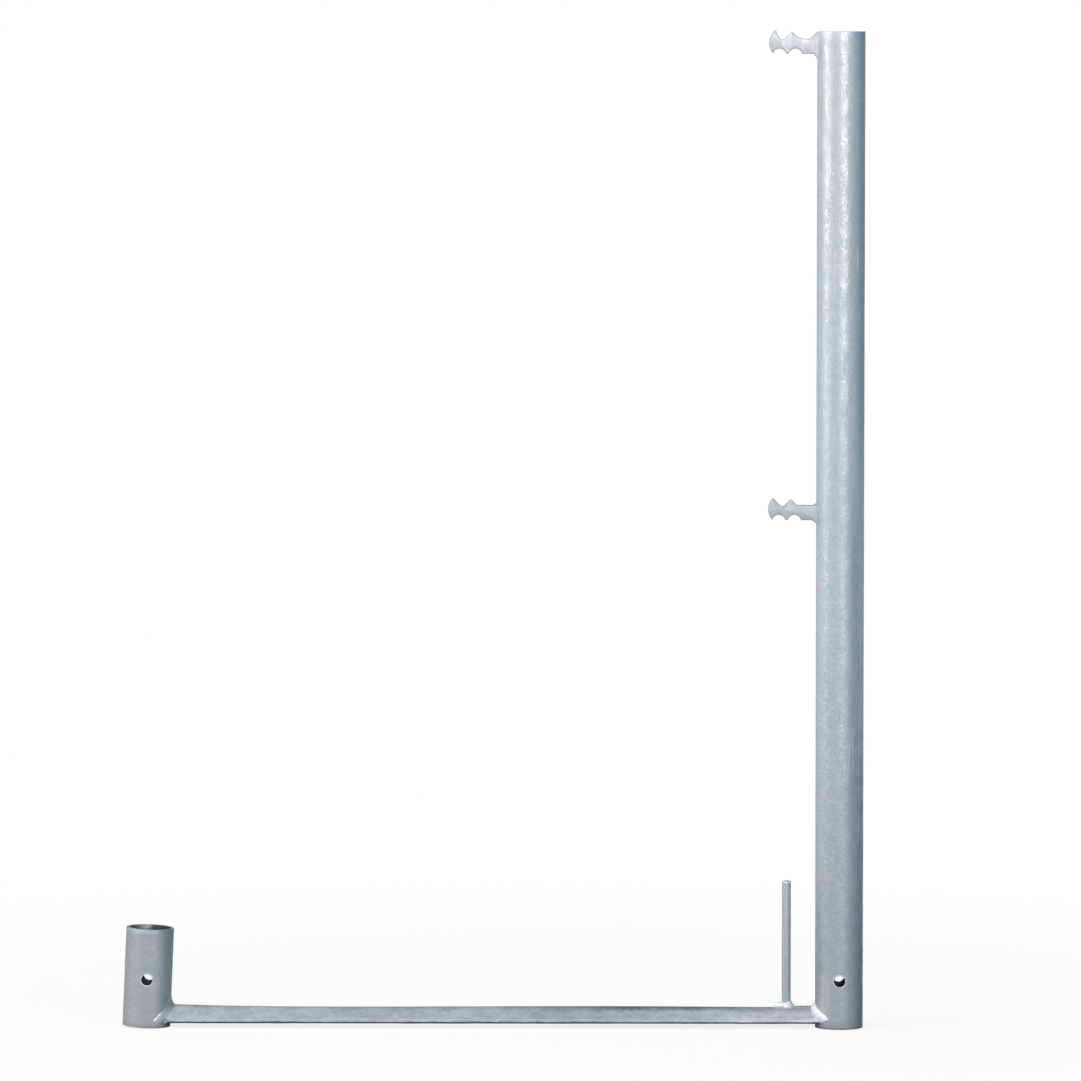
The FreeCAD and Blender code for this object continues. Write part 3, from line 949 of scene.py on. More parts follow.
@dataclass
class ToeBoardPin:
    """The round pin that holds the toe board against the post."""

    node: str = "toe_board_pin"

    def build(self, bench: Bench) -> None:
        """Smooth the pin and dress it.

        Args:
            bench: The workbench.
        """
        pin = bench.merged_node(self.node)
        bench.smooth(pin, degrees=40)
        bench.dress(pin, Coat.ROD, self.node)


@dataclass
class RailPeg:
    """A toothed peg plate, its cut edges softened by the zinc."""

    node: str
    edge: float = 1.0 * MM
    outer_tooth: float = -65 * MM
    tip: float = 0.1 * MM
    flank: float = 2.4 * MM

    def build(self, bench: Bench) -> None:
        """Soften the plate's edges and dress it.

        Args:
            bench: The workbench.
        """
        peg = bench.merged_node(self.node)
        outer = (vertex.co for vertex in peg.data.vertices if vertex.co.x < self.outer_tooth)
        lowest = min(outer, key=lambda place: place.z).copy()
        with bench.editing(peg, "EDGE"):
            bench.pick_edges(peg, lambda a, b: self.on_flank(a, b, lowest))
            bpy.ops.mesh.dissolve_edges(use_verts=True)
        bench.apply(
            peg,
            "BEVEL",
            width=self.edge,
            segments=3,
            limit_method="ANGLE",
            angle_limit=math.radians(60),
            use_clamp_overlap=False,
        )
        bench.smooth(peg, degrees=40)
        bench.dress(peg, Coat.PLATE, self.node)

    def on_flank(self, first: Vector, second: Vector, lowest: Vector) -> bool:
        """Tell whether an edge crosses the plate's thickness close beside the lower outer tooth's tip."""
        away = (first.xz - lowest.xz).length
        return abs(first.y - second.y) > PLATE_HALF and self.tip < away < self.flank


@dataclass(frozen=True)
class SeamPoint:
    """A point where a tube meets the bar, with the way along the seam and the way out of each face."""

    place: Vector
    along: Vector
    tube_face: Vector
    bar_face: Vector


@dataclass
class SeamWeld:
    """A run of weld in the corner between a tube and the bar, from one lower edge to the other.

    Each leg is given at the bar's crest and at its lower edges. The sweep lays the weld's ends round the
    tube.
    """

    node: str
    coat: Coat
    foot: Vector
    axis: Vector
    towards: int
    tube_leg: Span
    bar_leg: Span
    hollow: float = 1.0
    swell: float = 0.0
    sweep: float = 0.0
    ripple: float = 0.2 * MM
    pitch: float = 2.1 * MM
    ripple_lag: float = 0.9
    taper: float = 0.2
    last: float = BAR_HALF_WIDTH - 0.8 * MM
    rows: int = 150
    columns: int = 14
    toe: float = 0.3 * MM
    stand_off: float = 0.1 * MM
    end: float = 3.2 * MM
    end_turns: tuple[int, ...] = (14, 28, 42, 56, 70, 84)
    wave_size: float = 5 * MM
    wave: float = 0.5 * MM

    def build(self, bench: Bench) -> None:
        """Loft the weld along its seam and dress it.

        Args:
            bench: The workbench.
        """
        points = self.seam()
        loops = [self.section(point, index) for index, point in enumerate(points)]
        start, end = self.rounded(points[0], loops[0], -1), self.rounded(points[-1], loops[-1], 1)
        loops = start[::-1] + loops + end
        corners = [tuple(corner) for loop in loops for corner in loop]
        width = len(loops[0])
        faces = [tuple(range(width)), tuple(reversed(range(len(corners) - width, len(corners))))]
        for here in range(0, len(corners) - width, width):
            for column in range(width):
                beside = (column + 1) % width
                there = here + width
                faces.append((here + column, there + column, there + beside, here + beside))
        mesh = bpy.data.meshes.new(f"{self.node}_run")
        mesh.from_pydata(corners, [], faces)
        weld = bpy.data.objects.new(mesh.name, mesh)
        bpy.context.scene.collection.objects.link(weld)
        bench.turn_outwards(weld)
        bench.roughen(weld, self.wave_size, self.wave)
        bench.smooth(weld, degrees=50)
        bench.dress(weld, self.coat, self.node)

    def rounded(self, point: SeamPoint, loop: list[Vector], way: int) -> list[list[Vector]]:
        """Round off one end of the weld.

        Args:
            point: The seam at that end.
            loop: The weld's outline there.
            way: 1 where the weld ends with the seam's direction, -1 where it starts.

        Returns:
            Outlines that shrink into the corner, from the weld outwards.
        """
        rings = []
        for degrees in self.end_turns:
            turn = math.radians(degrees)
            corner = point.place + point.along * (way * self.end * math.sin(turn))
            rings.append([corner + (spot - point.place) * math.cos(turn) for spot in loop])
        return rings

    def seam(self) -> list[SeamPoint]:
        """Follow the seam over the bar, from its front edge to its back edge."""
        shares = [2 * step / self.rows - 1 for step in range(self.rows + 1)]
        return [self.seam_point(self.last * share) for share in shares]

    def seam_point(self, across: float) -> SeamPoint:
        """Find the seam at one distance from the bar's middle.

        Args:
            across: The distance, towards the back.

        Returns:
            The seam there.
        """
        step = 0.05 * MM
        before, after = self.place(across - step), self.place(across + step)
        reach = math.sqrt(TUBE_RADIUS**2 - across**2)
        slope = max(-1.0, min(1.0, across / FOLD_RADIUS * math.sqrt(2)))
        return SeamPoint(
            self.place(across),
            (after - before).normalized(),
            Vector((self.towards * reach, across, 0)).normalized(),
            Vector((0, slope, 1)).normalized(),
        )

    def place(self, across: float) -> Vector:
        """Find where the tube's face and the bar's face meet.

        Args:
            across: The distance from the bar's middle, towards the back.

        Returns:
            The place.
        """
        height = roof_height(across)
        on_axis = self.foot + self.axis * ((height - self.foot.z) / self.axis.z)
        reach = math.sqrt(TUBE_RADIUS**2 - across**2) / self.axis.z
        return Vector((on_axis.x + self.towards * reach, across, height))

    def section(self, point: SeamPoint, index: int) -> list[Vector]:
        """Draw the weld's outline across the seam.

        Args:
            point: The seam there.
            index: How many rows along the seam it is.

        Returns:
            The outline: from the tube, over the weld's face to the bar, and back through the corner.
        """
        up = point.along.cross(point.tube_face).normalized()
        up *= math.copysign(1.0, up.dot(point.bar_face))
        out = point.along.cross(point.bar_face).normalized()
        out *= math.copysign(1.0, out.dot(point.tube_face))
        bisector = (point.tube_face + point.bar_face).normalized()
        travelled = 2 * self.last * index / self.rows
        outwards = abs(2 * index / self.rows - 1)
        tube_leg = self.tube_leg[0] + (self.tube_leg[1] - self.tube_leg[0]) * outwards**2
        bar_leg = self.bar_leg[0] + (self.bar_leg[1] - self.bar_leg[0]) * outwards**2
        tube_leg *= 1 - self.taper * (max(0.0, outwards - 1 + self.taper) / self.taper) ** 2
        outline = []
        for column in range(self.columns + 1):
            over = column / self.columns
            bow = 4 * over * (1 - over)
            lag = travelled - self.ripple_lag * self.pitch * bow
            wave = self.ripple * bow * abs(math.sin(math.pi * lag / self.pitch))
            climb = tube_leg * (1 - over) ** self.hollow
            spot = self.along_tube(point, up, climb, self.sweep * outwards**2)
            spot += out * (bar_leg * over**self.hollow) + bisector * (self.swell * bow + wave)
            outline.append(self.held_to_tube(spot, -self.toe if column == 0 else self.stand_off * bow))
        outline[-1] -= point.bar_face * self.toe
        outline.append(point.place - bisector * self.toe)
        return outline

    def along_tube(self, point: SeamPoint, up: Vector, reach: float, sweep: float) -> Vector:
        """Walk from the seam over the tube's round face.

        Args:
            point: The seam there.
            up: The way off the bar, square to the seam.
            reach: How far to walk.
            sweep: How far the way is turned to run round the tube.

        Returns:
            The place on the tube's face.
        """
        side = self.axis.cross(point.tube_face).normalized()
        side *= math.copysign(1.0, -side.x * self.towards)
        way = (up * (1 - sweep) + side * sweep).normalized()
        on_axis = self.foot + self.axis * (point.place - self.foot).dot(self.axis)
        spoke = point.place - on_axis
        turned = spoke.normalized().cross(side).dot(self.axis)
        angle = math.copysign(reach * way.dot(side) / TUBE_RADIUS, turned * way.dot(side))
        spoke.rotate(Quaternion(self.axis, angle))
        return on_axis + spoke + self.axis * (reach * way.dot(self.axis))

    def held_to_tube(self, spot: Vector, clear: float) -> Vector:
        """Keep a point on or off the tube's round face.

        Args:
            spot: The point.
            clear: Its least distance off the face. A negative one also sets the point to that depth.

        Returns:
            The point, moved out from the tube's axis where it was too deep.
        """
        on_axis = self.foot + self.axis * (spot - self.foot).dot(self.axis)
        away = spot - on_axis
        wanted = TUBE_RADIUS + clear
        if clear < 0 or away.length < wanted:
            return on_axis + away.normalized() * wanted
        return spot


@dataclass(frozen=True)
class Lump:
    """One lump of weld metal, set by its middle and its half sizes."""

    centre: Vector
    radii: Vector


@dataclass
class WeldMound:
    """A mound of metal, melted together from lumps."""

    name: str
    coat: Coat
    lumps: list[Lump]
    voxel: float
    calm: int

    def build(self, bench: Bench, *nodes: str) -> None:
        """Melt the lumps into one piece and dress it.

        Args:
            bench: The workbench.
            nodes: The solids that the piece stands for.
        """
        ball = bench.fresh(
            bpy.ops.mesh.primitive_uv_sphere_add, "lump", segments=20, ring_count=12, radius=1.0
        )
        balls = []
        for lump in self.lumps:
            twin = bench.copied(ball)
            twin.location = lump.centre
            twin.scale = lump.radii
            balls.append(twin)
        bpy.data.objects.remove(ball)
        mound = bench.joined(balls, self.name)
        bench.apply(mound, "REMESH", mode="VOXEL", voxel_size=self.voxel, use_smooth_shade=True)
        bench.apply(mound, "SMOOTH", factor=0.5, iterations=self.calm)
        bench.smooth(mound, degrees=80)
        bench.dress(mound, self.coat, *nodes)


@dataclass
class WeldPad:
    """The flat, bright end of the socket's weld, laid slantwise on the tube's face.

    Its outline's waves are each given by their share, their count and their shift.
    """

    name: str
    side: int
    around: float = 14.8 * MM
    height: float = 11.4 * MM
    half_length: float = 8.2 * MM
    upper_width: float = 3.0 * MM
    lower_width: float = 5.6 * MM
    rise: float = 1.0 * MM
    slant: float = math.radians(42)
    outline: tuple[Triple, ...] = ((0.06, 3, 0.8), (0.05, 5, 2.0))
    face_wave: Span = (0.2, 8)
    wave_size: float = 5 * MM
    wave: float = 0.7 * MM

    def build(self, bench: Bench) -> None:
        """Lay the pad on the tube and dress it.

        Args:
            bench: The workbench.
        """
        pad = bench.fresh(
            bpy.ops.mesh.primitive_uv_sphere_add, self.name, segments=40, ring_count=20, radius=1.0
        )
        for vertex in pad.data.vertices:
            vertex.co = self.laid(vertex.co)
        bench.turn_outwards(pad)
        bench.roughen(pad, self.wave_size, self.wave)
        bench.smooth(pad, degrees=80)
        bench.dress(pad, Coat.WELD)

    def laid(self, point: Vector) -> Vector:
        """Move one point of a plain ball onto the tube's face.

        Args:
            point: The point, with the ball's radius as one.

        Returns:
            Its place in the frame.
        """
        angle = math.atan2(point.y, point.x)
        uneven = 1 + sum(share * math.sin(count * angle + shift) for share, count, shift in self.outline)
        along = point.x * self.half_length * uneven
        across = point.y * (self.upper_width if point.y > 0 else self.lower_width) * uneven
        around = self.around + along * math.cos(self.slant) - across * math.sin(self.slant)
        climb = self.height + along * math.sin(self.slant) + across * math.cos(self.slant)
        turn = around / TUBE_RADIUS
        share, count = self.face_wave
        radius = TUBE_RADIUS + point.z * self.rise * (1 + share * math.sin(count * point.x))
        on_axis = SOCKET_CROSSING + SOCKET_AXIS * ((climb - RIDGE_HEIGHT) / SOCKET_AXIS.z)
        return on_axis + Vector((radius * math.sin(turn), self.side * radius * math.cos(turn), 0))


@dataclass
class PegFlare:
    """The weld round a peg's root, flaring onto the post and smoothed over by the zinc.

    Above, below and beside each give the weld's reach along the peg and its rise off the shank. Each of
    their curves gives how late the rise comes, as a power, and the most of it that is reached.
    """

    node: str
    height: float
    above: Span
    below: Span
    beside: Span
    above_curve: Span = (1.0, 0.98)
    below_curve: Span = (1.7, 1.3)
    beside_curve: Span = (1.6, 1.5)
    beside_delay: float = 1 * MM
    depth: float = 2.9 * MM
    start_under: float = 0.2 * MM
    corner: float = 1.4 * MM
    cuts: int = 9
    wave_size: float = 6 * MM
    wave: float = 0.4 * MM

    def build(self, bench: Bench) -> None:
        """Model the flare and dress it.

        Args:
            bench: The workbench.
        """
        start = -(TUBE_RADIUS + max(self.above[0], self.below[0], self.beside[0]))
        end = -(TUBE_RADIUS - self.depth)
        flare = bench.fresh(
            bpy.ops.mesh.primitive_cube_add,
            f"{self.node}_flare",
            size=1.0,
            location=((start + end) / 2, 0, 0),
            scale=(end - start, 2 * PLATE_HALF, 2 * SHANK_HALF),
        )
        with bench.editing(flare, "EDGE"):
            bench.pick_edges(flare, self.runs_out)
            bpy.ops.mesh.bevel(offset=self.corner, offset_type="OFFSET", segments=4, affect="EDGES")
            bench.pick_edges(flare, self.runs_out)
            bpy.ops.mesh.subdivide(number_cuts=self.cuts)
        for vertex in flare.data.vertices:
            self.spread(vertex.co)
            vertex.co.z += self.height
        bench.roughen(flare, self.wave_size, self.wave)
        bench.smooth(flare, degrees=60)
        bench.dress(flare, Coat.PLATE, self.node)

    def runs_out(self, first: Vector, second: Vector) -> bool:
        """Tell whether an edge runs along the peg."""
        return abs(first.x - second.x) > self.depth

    def spread(self, point: Vector) -> None:
        """Move one point of the plain block out onto the flare.

        Args:
            point: The point, which is changed.
        """
        flank, curve = (self.above, self.above_curve) if point.z > 0 else (self.below, self.below_curve)
        top = SHANK_HALF - self.start_under + self.growth(point.x, flank, curve)
        point.z *= top / SHANK_HALF
        growth = self.growth(point.x - self.beside_delay, self.beside, self.beside_curve)
        point.y *= (PLATE_HALF - self.start_under + growth) / PLATE_HALF

    @staticmethod
    def growth(along: float, flank: Span, curve: Span) -> float:
        """Work out how far the weld stands off the shank.

        Args:
            along: The place along X.
            flank: The weld's reach along the peg and its rise.
            curve: The power of the rise and the most of it that is reached.

        Returns:
            The height off the shank.
        """
        reach, rise = flank
        power, most = curve
        return rise * min(max(0.0, (along + TUBE_RADIUS + reach) / reach) ** power, most)


@dataclass
class WeldWork:
    """All the welds of the frame.

    The pin's mound is a block on the side away from the post and a collar elsewhere. Each of its lumps is
    given by its shift along X, its shift across the bar, its lift off the bar and its half sizes, in
    millimetres.
    """

    pin_lumps: tuple[tuple[float, ...], ...] = (
        (-7.6, -1.6, 1.0, 4.4, 3.8, 4.0),
        (-7.4, 1.6, 0.8, 4.4, 3.8, 4.0),
        (-4.4, -2.6, 1.6, 5.2, 3.8, 4.0),
        (-4.2, 2.6, 1.2, 5.2, 3.8, 3.8),
        (-4.0, 0.0, 1.6, 5.4, 4.2, 4.0),
        (-0.4, -3.0, 0.8, 5.0, 3.4, 3.8),
        (-0.2, 3.0, 0.6, 5.0, 3.4, 3.8),
        (2.4, -2.2, 0.6, 4.4, 3.4, 3.8),
        (2.6, 2.2, 0.6, 4.4, 3.4, 3.8),
        (4.2, 0.0, 0.2, 4.6, 3.8, 3.4),
        (1.0, 0.0, 3.6, 5.2, 5.0, 4.4),
    )

    def build(self, bench: Bench) -> None:
        """Lay each weld in turn.

        Args:
            bench: The workbench.
        """
        SeamWeld(
            "post_bar_weld",
            Coat.WELD,
            ORIGIN,
            UP,
            -1,
            tube_leg=(4.5 * MM, 12.5 * MM),
            bar_leg=(5.0 * MM, 1.8 * MM),
            swell=0.7 * MM,
            sweep=0.65,
        ).build(bench)
        SeamWeld(
            "socket_bar_weld",
            Coat.FILLET,
            SOCKET_CROSSING,
            SOCKET_AXIS,
            1,
            tube_leg=(13.5 * MM, 9.0 * MM),
            bar_leg=(8.0 * MM, 3.0 * MM),
            hollow=1.8,
            ripple=0.08 * MM,
        ).build(bench)
        WeldPad("socket_weld_front", -1).build(bench)
        WeldPad("socket_weld_back", 1).build(bench)
        self.pin_mound().build(bench, "toe_pin_weld")
        PegFlare(
            "upper_peg_weld",
            UPPER_PEG,
            above=(8.0 * MM, 7.0 * MM),
            below=(4.5 * MM, 5.0 * MM),
            beside=(6.0 * MM, 2.4 * MM),
        ).build(bench)
        PegFlare(
            "lower_peg_weld",
            LOWER_PEG,
            above=(3.5 * MM, 2.2 * MM),
            below=(6.0 * MM, 4.0 * MM),
            beside=(5.0 * MM, 2.2 * MM),
        ).build(bench)

    def pin_mound(self) -> WeldMound:
        """Plan the mound round the pin's foot.

        Returns:
            The planned mound.
        """
        lumps = []
        for shift, across, lift, *radii in self.pin_lumps:
            height = roof_height(across * MM) + lift * MM
            centre = Vector((shift * MM - PIN_OFFSET, across * MM, height))
            lumps.append(Lump(centre, Vector(radii) * MM))
        return WeldMound("toe_pin_weld_mound", Coat.WELD, lumps, voxel=0.45 * MM, calm=16)


@dataclass
class ZincTraces:
    """What the zinc bath leaves behind: nodules, runs, a rough ridge and a spike.

    Heights are shares of a metre. Widths, lengths and the ridge's sizes are in millimetres.
    """

    seed: int = 29
    nodules: int = 34
    socket_turn: int = 8
    nodule_heights: Span = (0.03, 0.98)
    socket_heights: Span = (0.01, 0.07)
    nodule_radii: Span = (0.4, 0.9)
    nodule_stretch: Span = (1.0, 2.4)
    nodule_rise: float = 0.35
    nodule_cut: float = -0.3
    runs: int = 18
    run_heights: Span = (0.08, 0.93)
    run_lengths: Span = (12, 34)
    run_widths: Span = (0.9, 1.8)
    run_rise: float = 0.32 * MM
    run_sink: float = 0.1 * MM
    run_taper: float = 0.6
    ridge_lumps: int = 24
    ridge_start: float = -48.0
    ridge_sway: Span = (-0.5, 0.5)
    ridge_sink: Span = (1.8, 2.3)
    ridge_width: Span = (2.8, 3.5)
    ridge_length: float = 3.0
    ridge_height: float = 3.1
    spike_root: Vector = field(default_factory=lambda: Vector((-67.2, 0, -3.4)) * MM)
    spike_tip: Vector = field(default_factory=lambda: Vector((-66.0, 0, 2.2)) * MM)
    spike_radii: Span = (1.7 * MM, 0.25 * MM)
    spike_section: Triple = (0.8, 1.6, 1.0)
    spike_edge: float = 0.35 * MM

    def build(self, bench: Bench) -> None:
        """Model and dress each kind of trace.

        Args:
            bench: The workbench.
        """
        chance = random.Random(self.seed)
        bench.dress(self.nodule_field(chance), Coat.POST)
        bench.dress(self.run_field(chance), Coat.POST)
        self.crest_ridge(chance).build(bench)
        bench.dress(self.tooth_spike(), Coat.PLATE)

    @staticmethod
    def gathered(
        first: bpy.types.Object, twins: Sequence[bpy.types.Object], name: str
    ) -> bpy.types.Object:
        """Join the copies of a shape and put the shape itself away.

        Args:
            first: The shape that was copied.
            twins: Its copies, in their places.
            name: The joined piece's name.

        Returns:
            The joined piece.
        """
        bpy.data.objects.remove(first)
        whole = Bench.joined(twins, name)
        Bench.smooth(whole, degrees=60)
        return whole

    @staticmethod
    def spoke(chance: random.Random) -> tuple[float, Vector]:
        """Choose a turn round a tube's axis, and give it with the way out from the axis there."""
        turn = chance.uniform(0, 2 * math.pi)
        return turn, Vector((math.cos(turn), math.sin(turn), 0))

    def nodule_field(self, chance: random.Random) -> bpy.types.Object:
        """Scatter small nodules over the post and the socket.

        Args:
            chance: The seeded source of places and sizes.

        Returns:
            All the nodules as one piece.
        """
        first = Bench.fresh(bpy.ops.mesh.primitive_ico_sphere_add, "nodule", subdivisions=2, radius=1.0)
        with Bench.editing(first, "VERT", "SELECT"):
            bpy.ops.mesh.bisect(
                plane_co=(0, 0, self.nodule_cut), plane_no=(0, 0, 1), clear_inner=True, use_fill=True
            )
        twins = []
        for index in range(self.nodules):
            _, normal = self.spoke(chance)
            height = chance.uniform(*self.nodule_heights)
            place = normal * TUBE_RADIUS + UP * height
            if index % self.socket_turn == 0:
                normal = Quaternion((0, 1, 0), SOCKET_LEAN) @ normal
                along = SOCKET_AXIS * chance.uniform(*self.socket_heights)
                place = SOCKET_CROSSING + along + normal * TUBE_RADIUS
            radius = chance.uniform(*self.nodule_radii) * MM
            length = radius * chance.uniform(*self.nodule_stretch)
            side = UP.cross(normal).normalized()
            turn = Matrix((side, normal.cross(side), normal)).transposed().to_4x4()
            size = Matrix.Diagonal((radius, length, self.nodule_rise * radius, 1.0))
            twin = Bench.copied(first)
            twin.matrix_world = Matrix.Translation(place) @ turn @ size
            twins.append(twin)
        return self.gathered(first, twins, "zinc_nodules")

    def run_field(self, chance: random.Random) -> bpy.types.Object:
        """Lay long thin runs down the post, thicker at the lower end.

        Args:
            chance: The seeded source of places and sizes.

        Returns:
            All the runs as one piece.
        """
        first = Bench.fresh(
            bpy.ops.mesh.primitive_uv_sphere_add, "run", segments=14, ring_count=14, radius=1.0
        )
        for vertex in first.data.vertices:
            vertex.co.xy *= 1.0 - self.run_taper * max(0.0, vertex.co.z)
        twins = []
        for _ in range(self.runs):
            turn, normal = self.spoke(chance)
            height = chance.uniform(*self.run_heights)
            length = chance.uniform(*self.run_lengths) * MM
            width = chance.uniform(*self.run_widths) * MM
            twin = Bench.copied(first)
            twin.rotation_euler = (0, 0, turn)
            twin.location = normal * (TUBE_RADIUS - self.run_sink) + UP * height
            twin.scale = (self.run_rise, width, length)
            twins.append(twin)
        return self.gathered(first, twins, "zinc_runs")

    def crest_ridge(self, chance: random.Random) -> WeldMound:
        """Plan the rough ridge on the fold between the pin and the post.

        Args:
            chance: The seeded source of sizes.

        Returns:
            The planned ridge.
        """
        lumps = []
        for step in range(self.ridge_lumps):
            reach = (self.ridge_start + step) * MM
            across = chance.uniform(*self.ridge_sway) * MM
            height = roof_height(across) - chance.uniform(*self.ridge_sink) * MM
            radii = Vector((self.ridge_length, chance.uniform(*self.ridge_width), self.ridge_height)) * MM
            lumps.append(Lump(Vector((reach, across, height)), radii))
        return WeldMound("crest_ridge_mound", Coat.BAR, lumps, voxel=0.4 * MM, calm=6)

    def tooth_spike(self) -> bpy.types.Object:
        """Draw out the thin zinc spike on the upper peg's outer tooth.

        Returns:
            The spike.
        """
        tooth = UP * (UPPER_PEG + TOOTH_HEIGHT)
        root, tip = tooth + self.spike_root, tooth + self.spike_tip
        reach = tip - root
        spike = Bench.fresh(
            bpy.ops.mesh.primitive_cone_add,
            "tooth_spike",
            vertices=14,
            radius1=self.spike_radii[0],
            radius2=self.spike_radii[1],
            depth=reach.length,
            location=(root + tip) / 2,
            rotation=reach.to_track_quat("Z", "Y").to_euler(),
            scale=self.spike_section,
        )
        Bench.apply(
            spike,
            "BEVEL",
            width=self.spike_edge,
            segments=3,
            limit_method="ANGLE",
            angle_limit=math.radians(30),
        )
        Bench.smooth(spike, degrees=60)
        return spike


@dataclass(frozen=True)
class Lamp:
    """A soft lamp: where it hangs, the width and height of its panel, and its power."""

    name: str
    place: Triple
    width: float
    height: float
    watts: float


@dataclass
class Studio:
    """A plain pale floor, soft light and a camera at the photograph's angle."""

    middle: Vector = field(default_factory=lambda: Vector((-0.33, 0, 0.4)))
    lamps: tuple[Lamp, ...] = (
        Lamp("key", (-2.4, -2.6, 4.6), 4.2, 4.2, 55.0),
        Lamp("left_strip", (-3.0, -0.95, 1.5), 0.3, 1.5, 16.0),
        Lamp("front_strip", (0.78, -3.0, 1.6), 0.22, 1.5, 18.0),
    )
    lamp_colour: Triple = (1.0, 0.97, 0.93)
    white: Triple = (1.0, 1.0, 1.0)
    floor_size: float = 60.0
    floor_colour: Triple = (0.95, 0.95, 0.95)
    floor_bounce: Triple = (0.4, 0.41, 0.43)
    floor_mirrored: float = 0.04
    shadow_reach: Span = (0.45, 1.4)
    shadow_glow: float = 0.82
    backdrop: Triple = (0.97, 0.985, 1.0)
    backdrop_mirrored: float = 0.05
    screen: Triple = (0.0, 0.17, 0.28)
    screen_turn: float = 0.35
    screen_span: Span = (0.1, 0.8)
    ceiling: Triple = (0.6, 0.64, 0.68)
    ceiling_span: Span = (0.35, 0.95)
    rear: Triple = (0.36, 0.39, 0.42)
    rear_span: Span = (0.85, 0.99)
    rear_top: Span = (0.1, 0.5)
    rear_share: float = 0.75
    camera_place: Triple = (-0.24, -7.4, 0.99)
    camera_pitch: float = -3.8418
    camera_yaw: float = 0.4783
    focal_pixels: float = 7360.5
    frame_pixels: float = 1081.0
    sensor: float = 36.0
    view_end: float = 200.0

    def build(self) -> None:
        """Set up the floor, the world, the lamps and the camera."""
        bpy.context.scene.view_settings.view_transform = "Standard"
        self.floor()
        self.world()
        for lamp in self.lamps:
            self.hang(lamp)
        self.camera()

    @staticmethod
    def seen(desk: NodeDesk, mirrored: float) -> bpy.types.NodeSocket:
        """Find the rays that see plain white: straight ones, and a share of the mirrored ones.

        Args:
            desk: The nodes of the floor or the world.
            mirrored: How much of the white a mirrored ray sees.

        Returns:
            How much of the white shows.
        """
        path = desk.add("LightPath").outputs
        straight = desk.math("MAXIMUM", path["Is Camera Ray"], path["Is Transmission Ray"])
        return desk.math("MAXIMUM", straight, desk.times(path["Is Glossy Ray"], mirrored))

    def floor(self) -> None:
        """Lay the pale floor: white to the eye, with the object's soft shadow near its foot."""
        floor = Bench.fresh(bpy.ops.mesh.primitive_plane_add, "floor", size=self.floor_size)
        with Bench.editing(floor, "FACE", "SELECT"):
            bpy.ops.mesh.subdivide(number_cuts=3)
        material = bpy.data.materials.new("pale_floor")
        material.use_nodes = True
        desk = NodeDesk(material.node_tree)
        straight = desk.add("LightPath").outputs["Is Camera Ray"]
        colour = desk.blend(straight, self.floor_bounce, self.floor_colour)
        paint = desk.add("BsdfDiffuse", {"Color": colour}).outputs[0]
        glow = desk.add("Emission", {"Color": desk.solid(self.white)}).outputs[0]
        ends = {0: desk.add("TexCoord").outputs["Object"], 1: (self.middle.x, 0.0, 0.0)}
        away = desk.add("VectorMath", ends, operation="DISTANCE").outputs["Value"]
        far = desk.ramp(away, *self.shadow_reach, (self.shadow_glow, 1.0))
        share = desk.times(far, self.seen(desk, self.floor_mirrored))
        mix = desk.add("MixShader", {0: share, 1: paint, 2: glow})
        desk.add("OutputMaterial", {"Surface": mix.outputs[0]})
        floor.data.materials.append(material)

    def world(self) -> None:
        """Surround the object with a white backdrop: a blue-grey screen on the right, a softer one behind."""
        world = bpy.data.worlds.new("studio")
        bpy.context.scene.world = world
        world.use_nodes = True
        desk = NodeDesk(world.node_tree)
        axes = desk.axes(desk.add("TexCoord").outputs["Generated"])
        around = desk.plus(axes["X"], desk.times(axes["Y"], self.screen_turn))
        light = desk.blend(desk.ramp(around, *self.screen_span), self.backdrop, self.screen)
        light = desk.blend(desk.ramp(axes["Z"], *self.ceiling_span), light, self.ceiling)
        low = desk.ramp(axes["Z"], *self.rear_top, (1.0, 0.0))
        behind = desk.times(desk.ramp(axes["Y"], *self.rear_span, (0.0, self.rear_share)), low)
        light = desk.blend(behind, light, self.rear)
        light = desk.blend(self.seen(desk, self.backdrop_mirrored), light, self.white)
        shine = desk.add("Background", {"Color": light})
        desk.add("OutputWorld", {"Surface": shine.outputs[0]})

    def hang(self, lamp: Lamp) -> None:
        """Hang a soft lamp so that it faces the object.

        Args:
            lamp: The lamp.
        """
        data = bpy.data.lights.new(lamp.name, "AREA")
        data.shape = "RECTANGLE"
        data.size = lamp.width
        data.size_y = lamp.height
        data.energy = lamp.watts
        data.color = self.lamp_colour
        panel = bpy.data.objects.new(lamp.name, data)
        panel.location = lamp.place
        aim = self.middle - Vector(lamp.place)
        panel.rotation_euler = aim.to_track_quat("-Z", "Y").to_euler()
        bpy.context.scene.collection.objects.link(panel)

    def camera(self) -> None:
        """Stand the camera where the photograph was taken from."""
        data = bpy.data.cameras.new("camera")
        data.sensor_fit = "HORIZONTAL"
        data.sensor_width = self.sensor
        data.lens = self.sensor * self.focal_pixels / self.frame_pixels
        data.clip_end = self.view_end
        camera = bpy.data.objects.new("camera", data)
        camera.location = self.camera_place
        camera.rotation_euler = (math.radians(90 + self.camera_pitch), 0, math.radians(self.camera_yaw))
        bpy.context.scene.collection.objects.link(camera)
        bpy.context.scene.camera = camera


# Darker along the last few millimetres of each tube's foot.
FOOT_DARKENING = Band((0.5, 0.51, 0.54), 2.6 * MM, 0.8 * MM, 0.9)

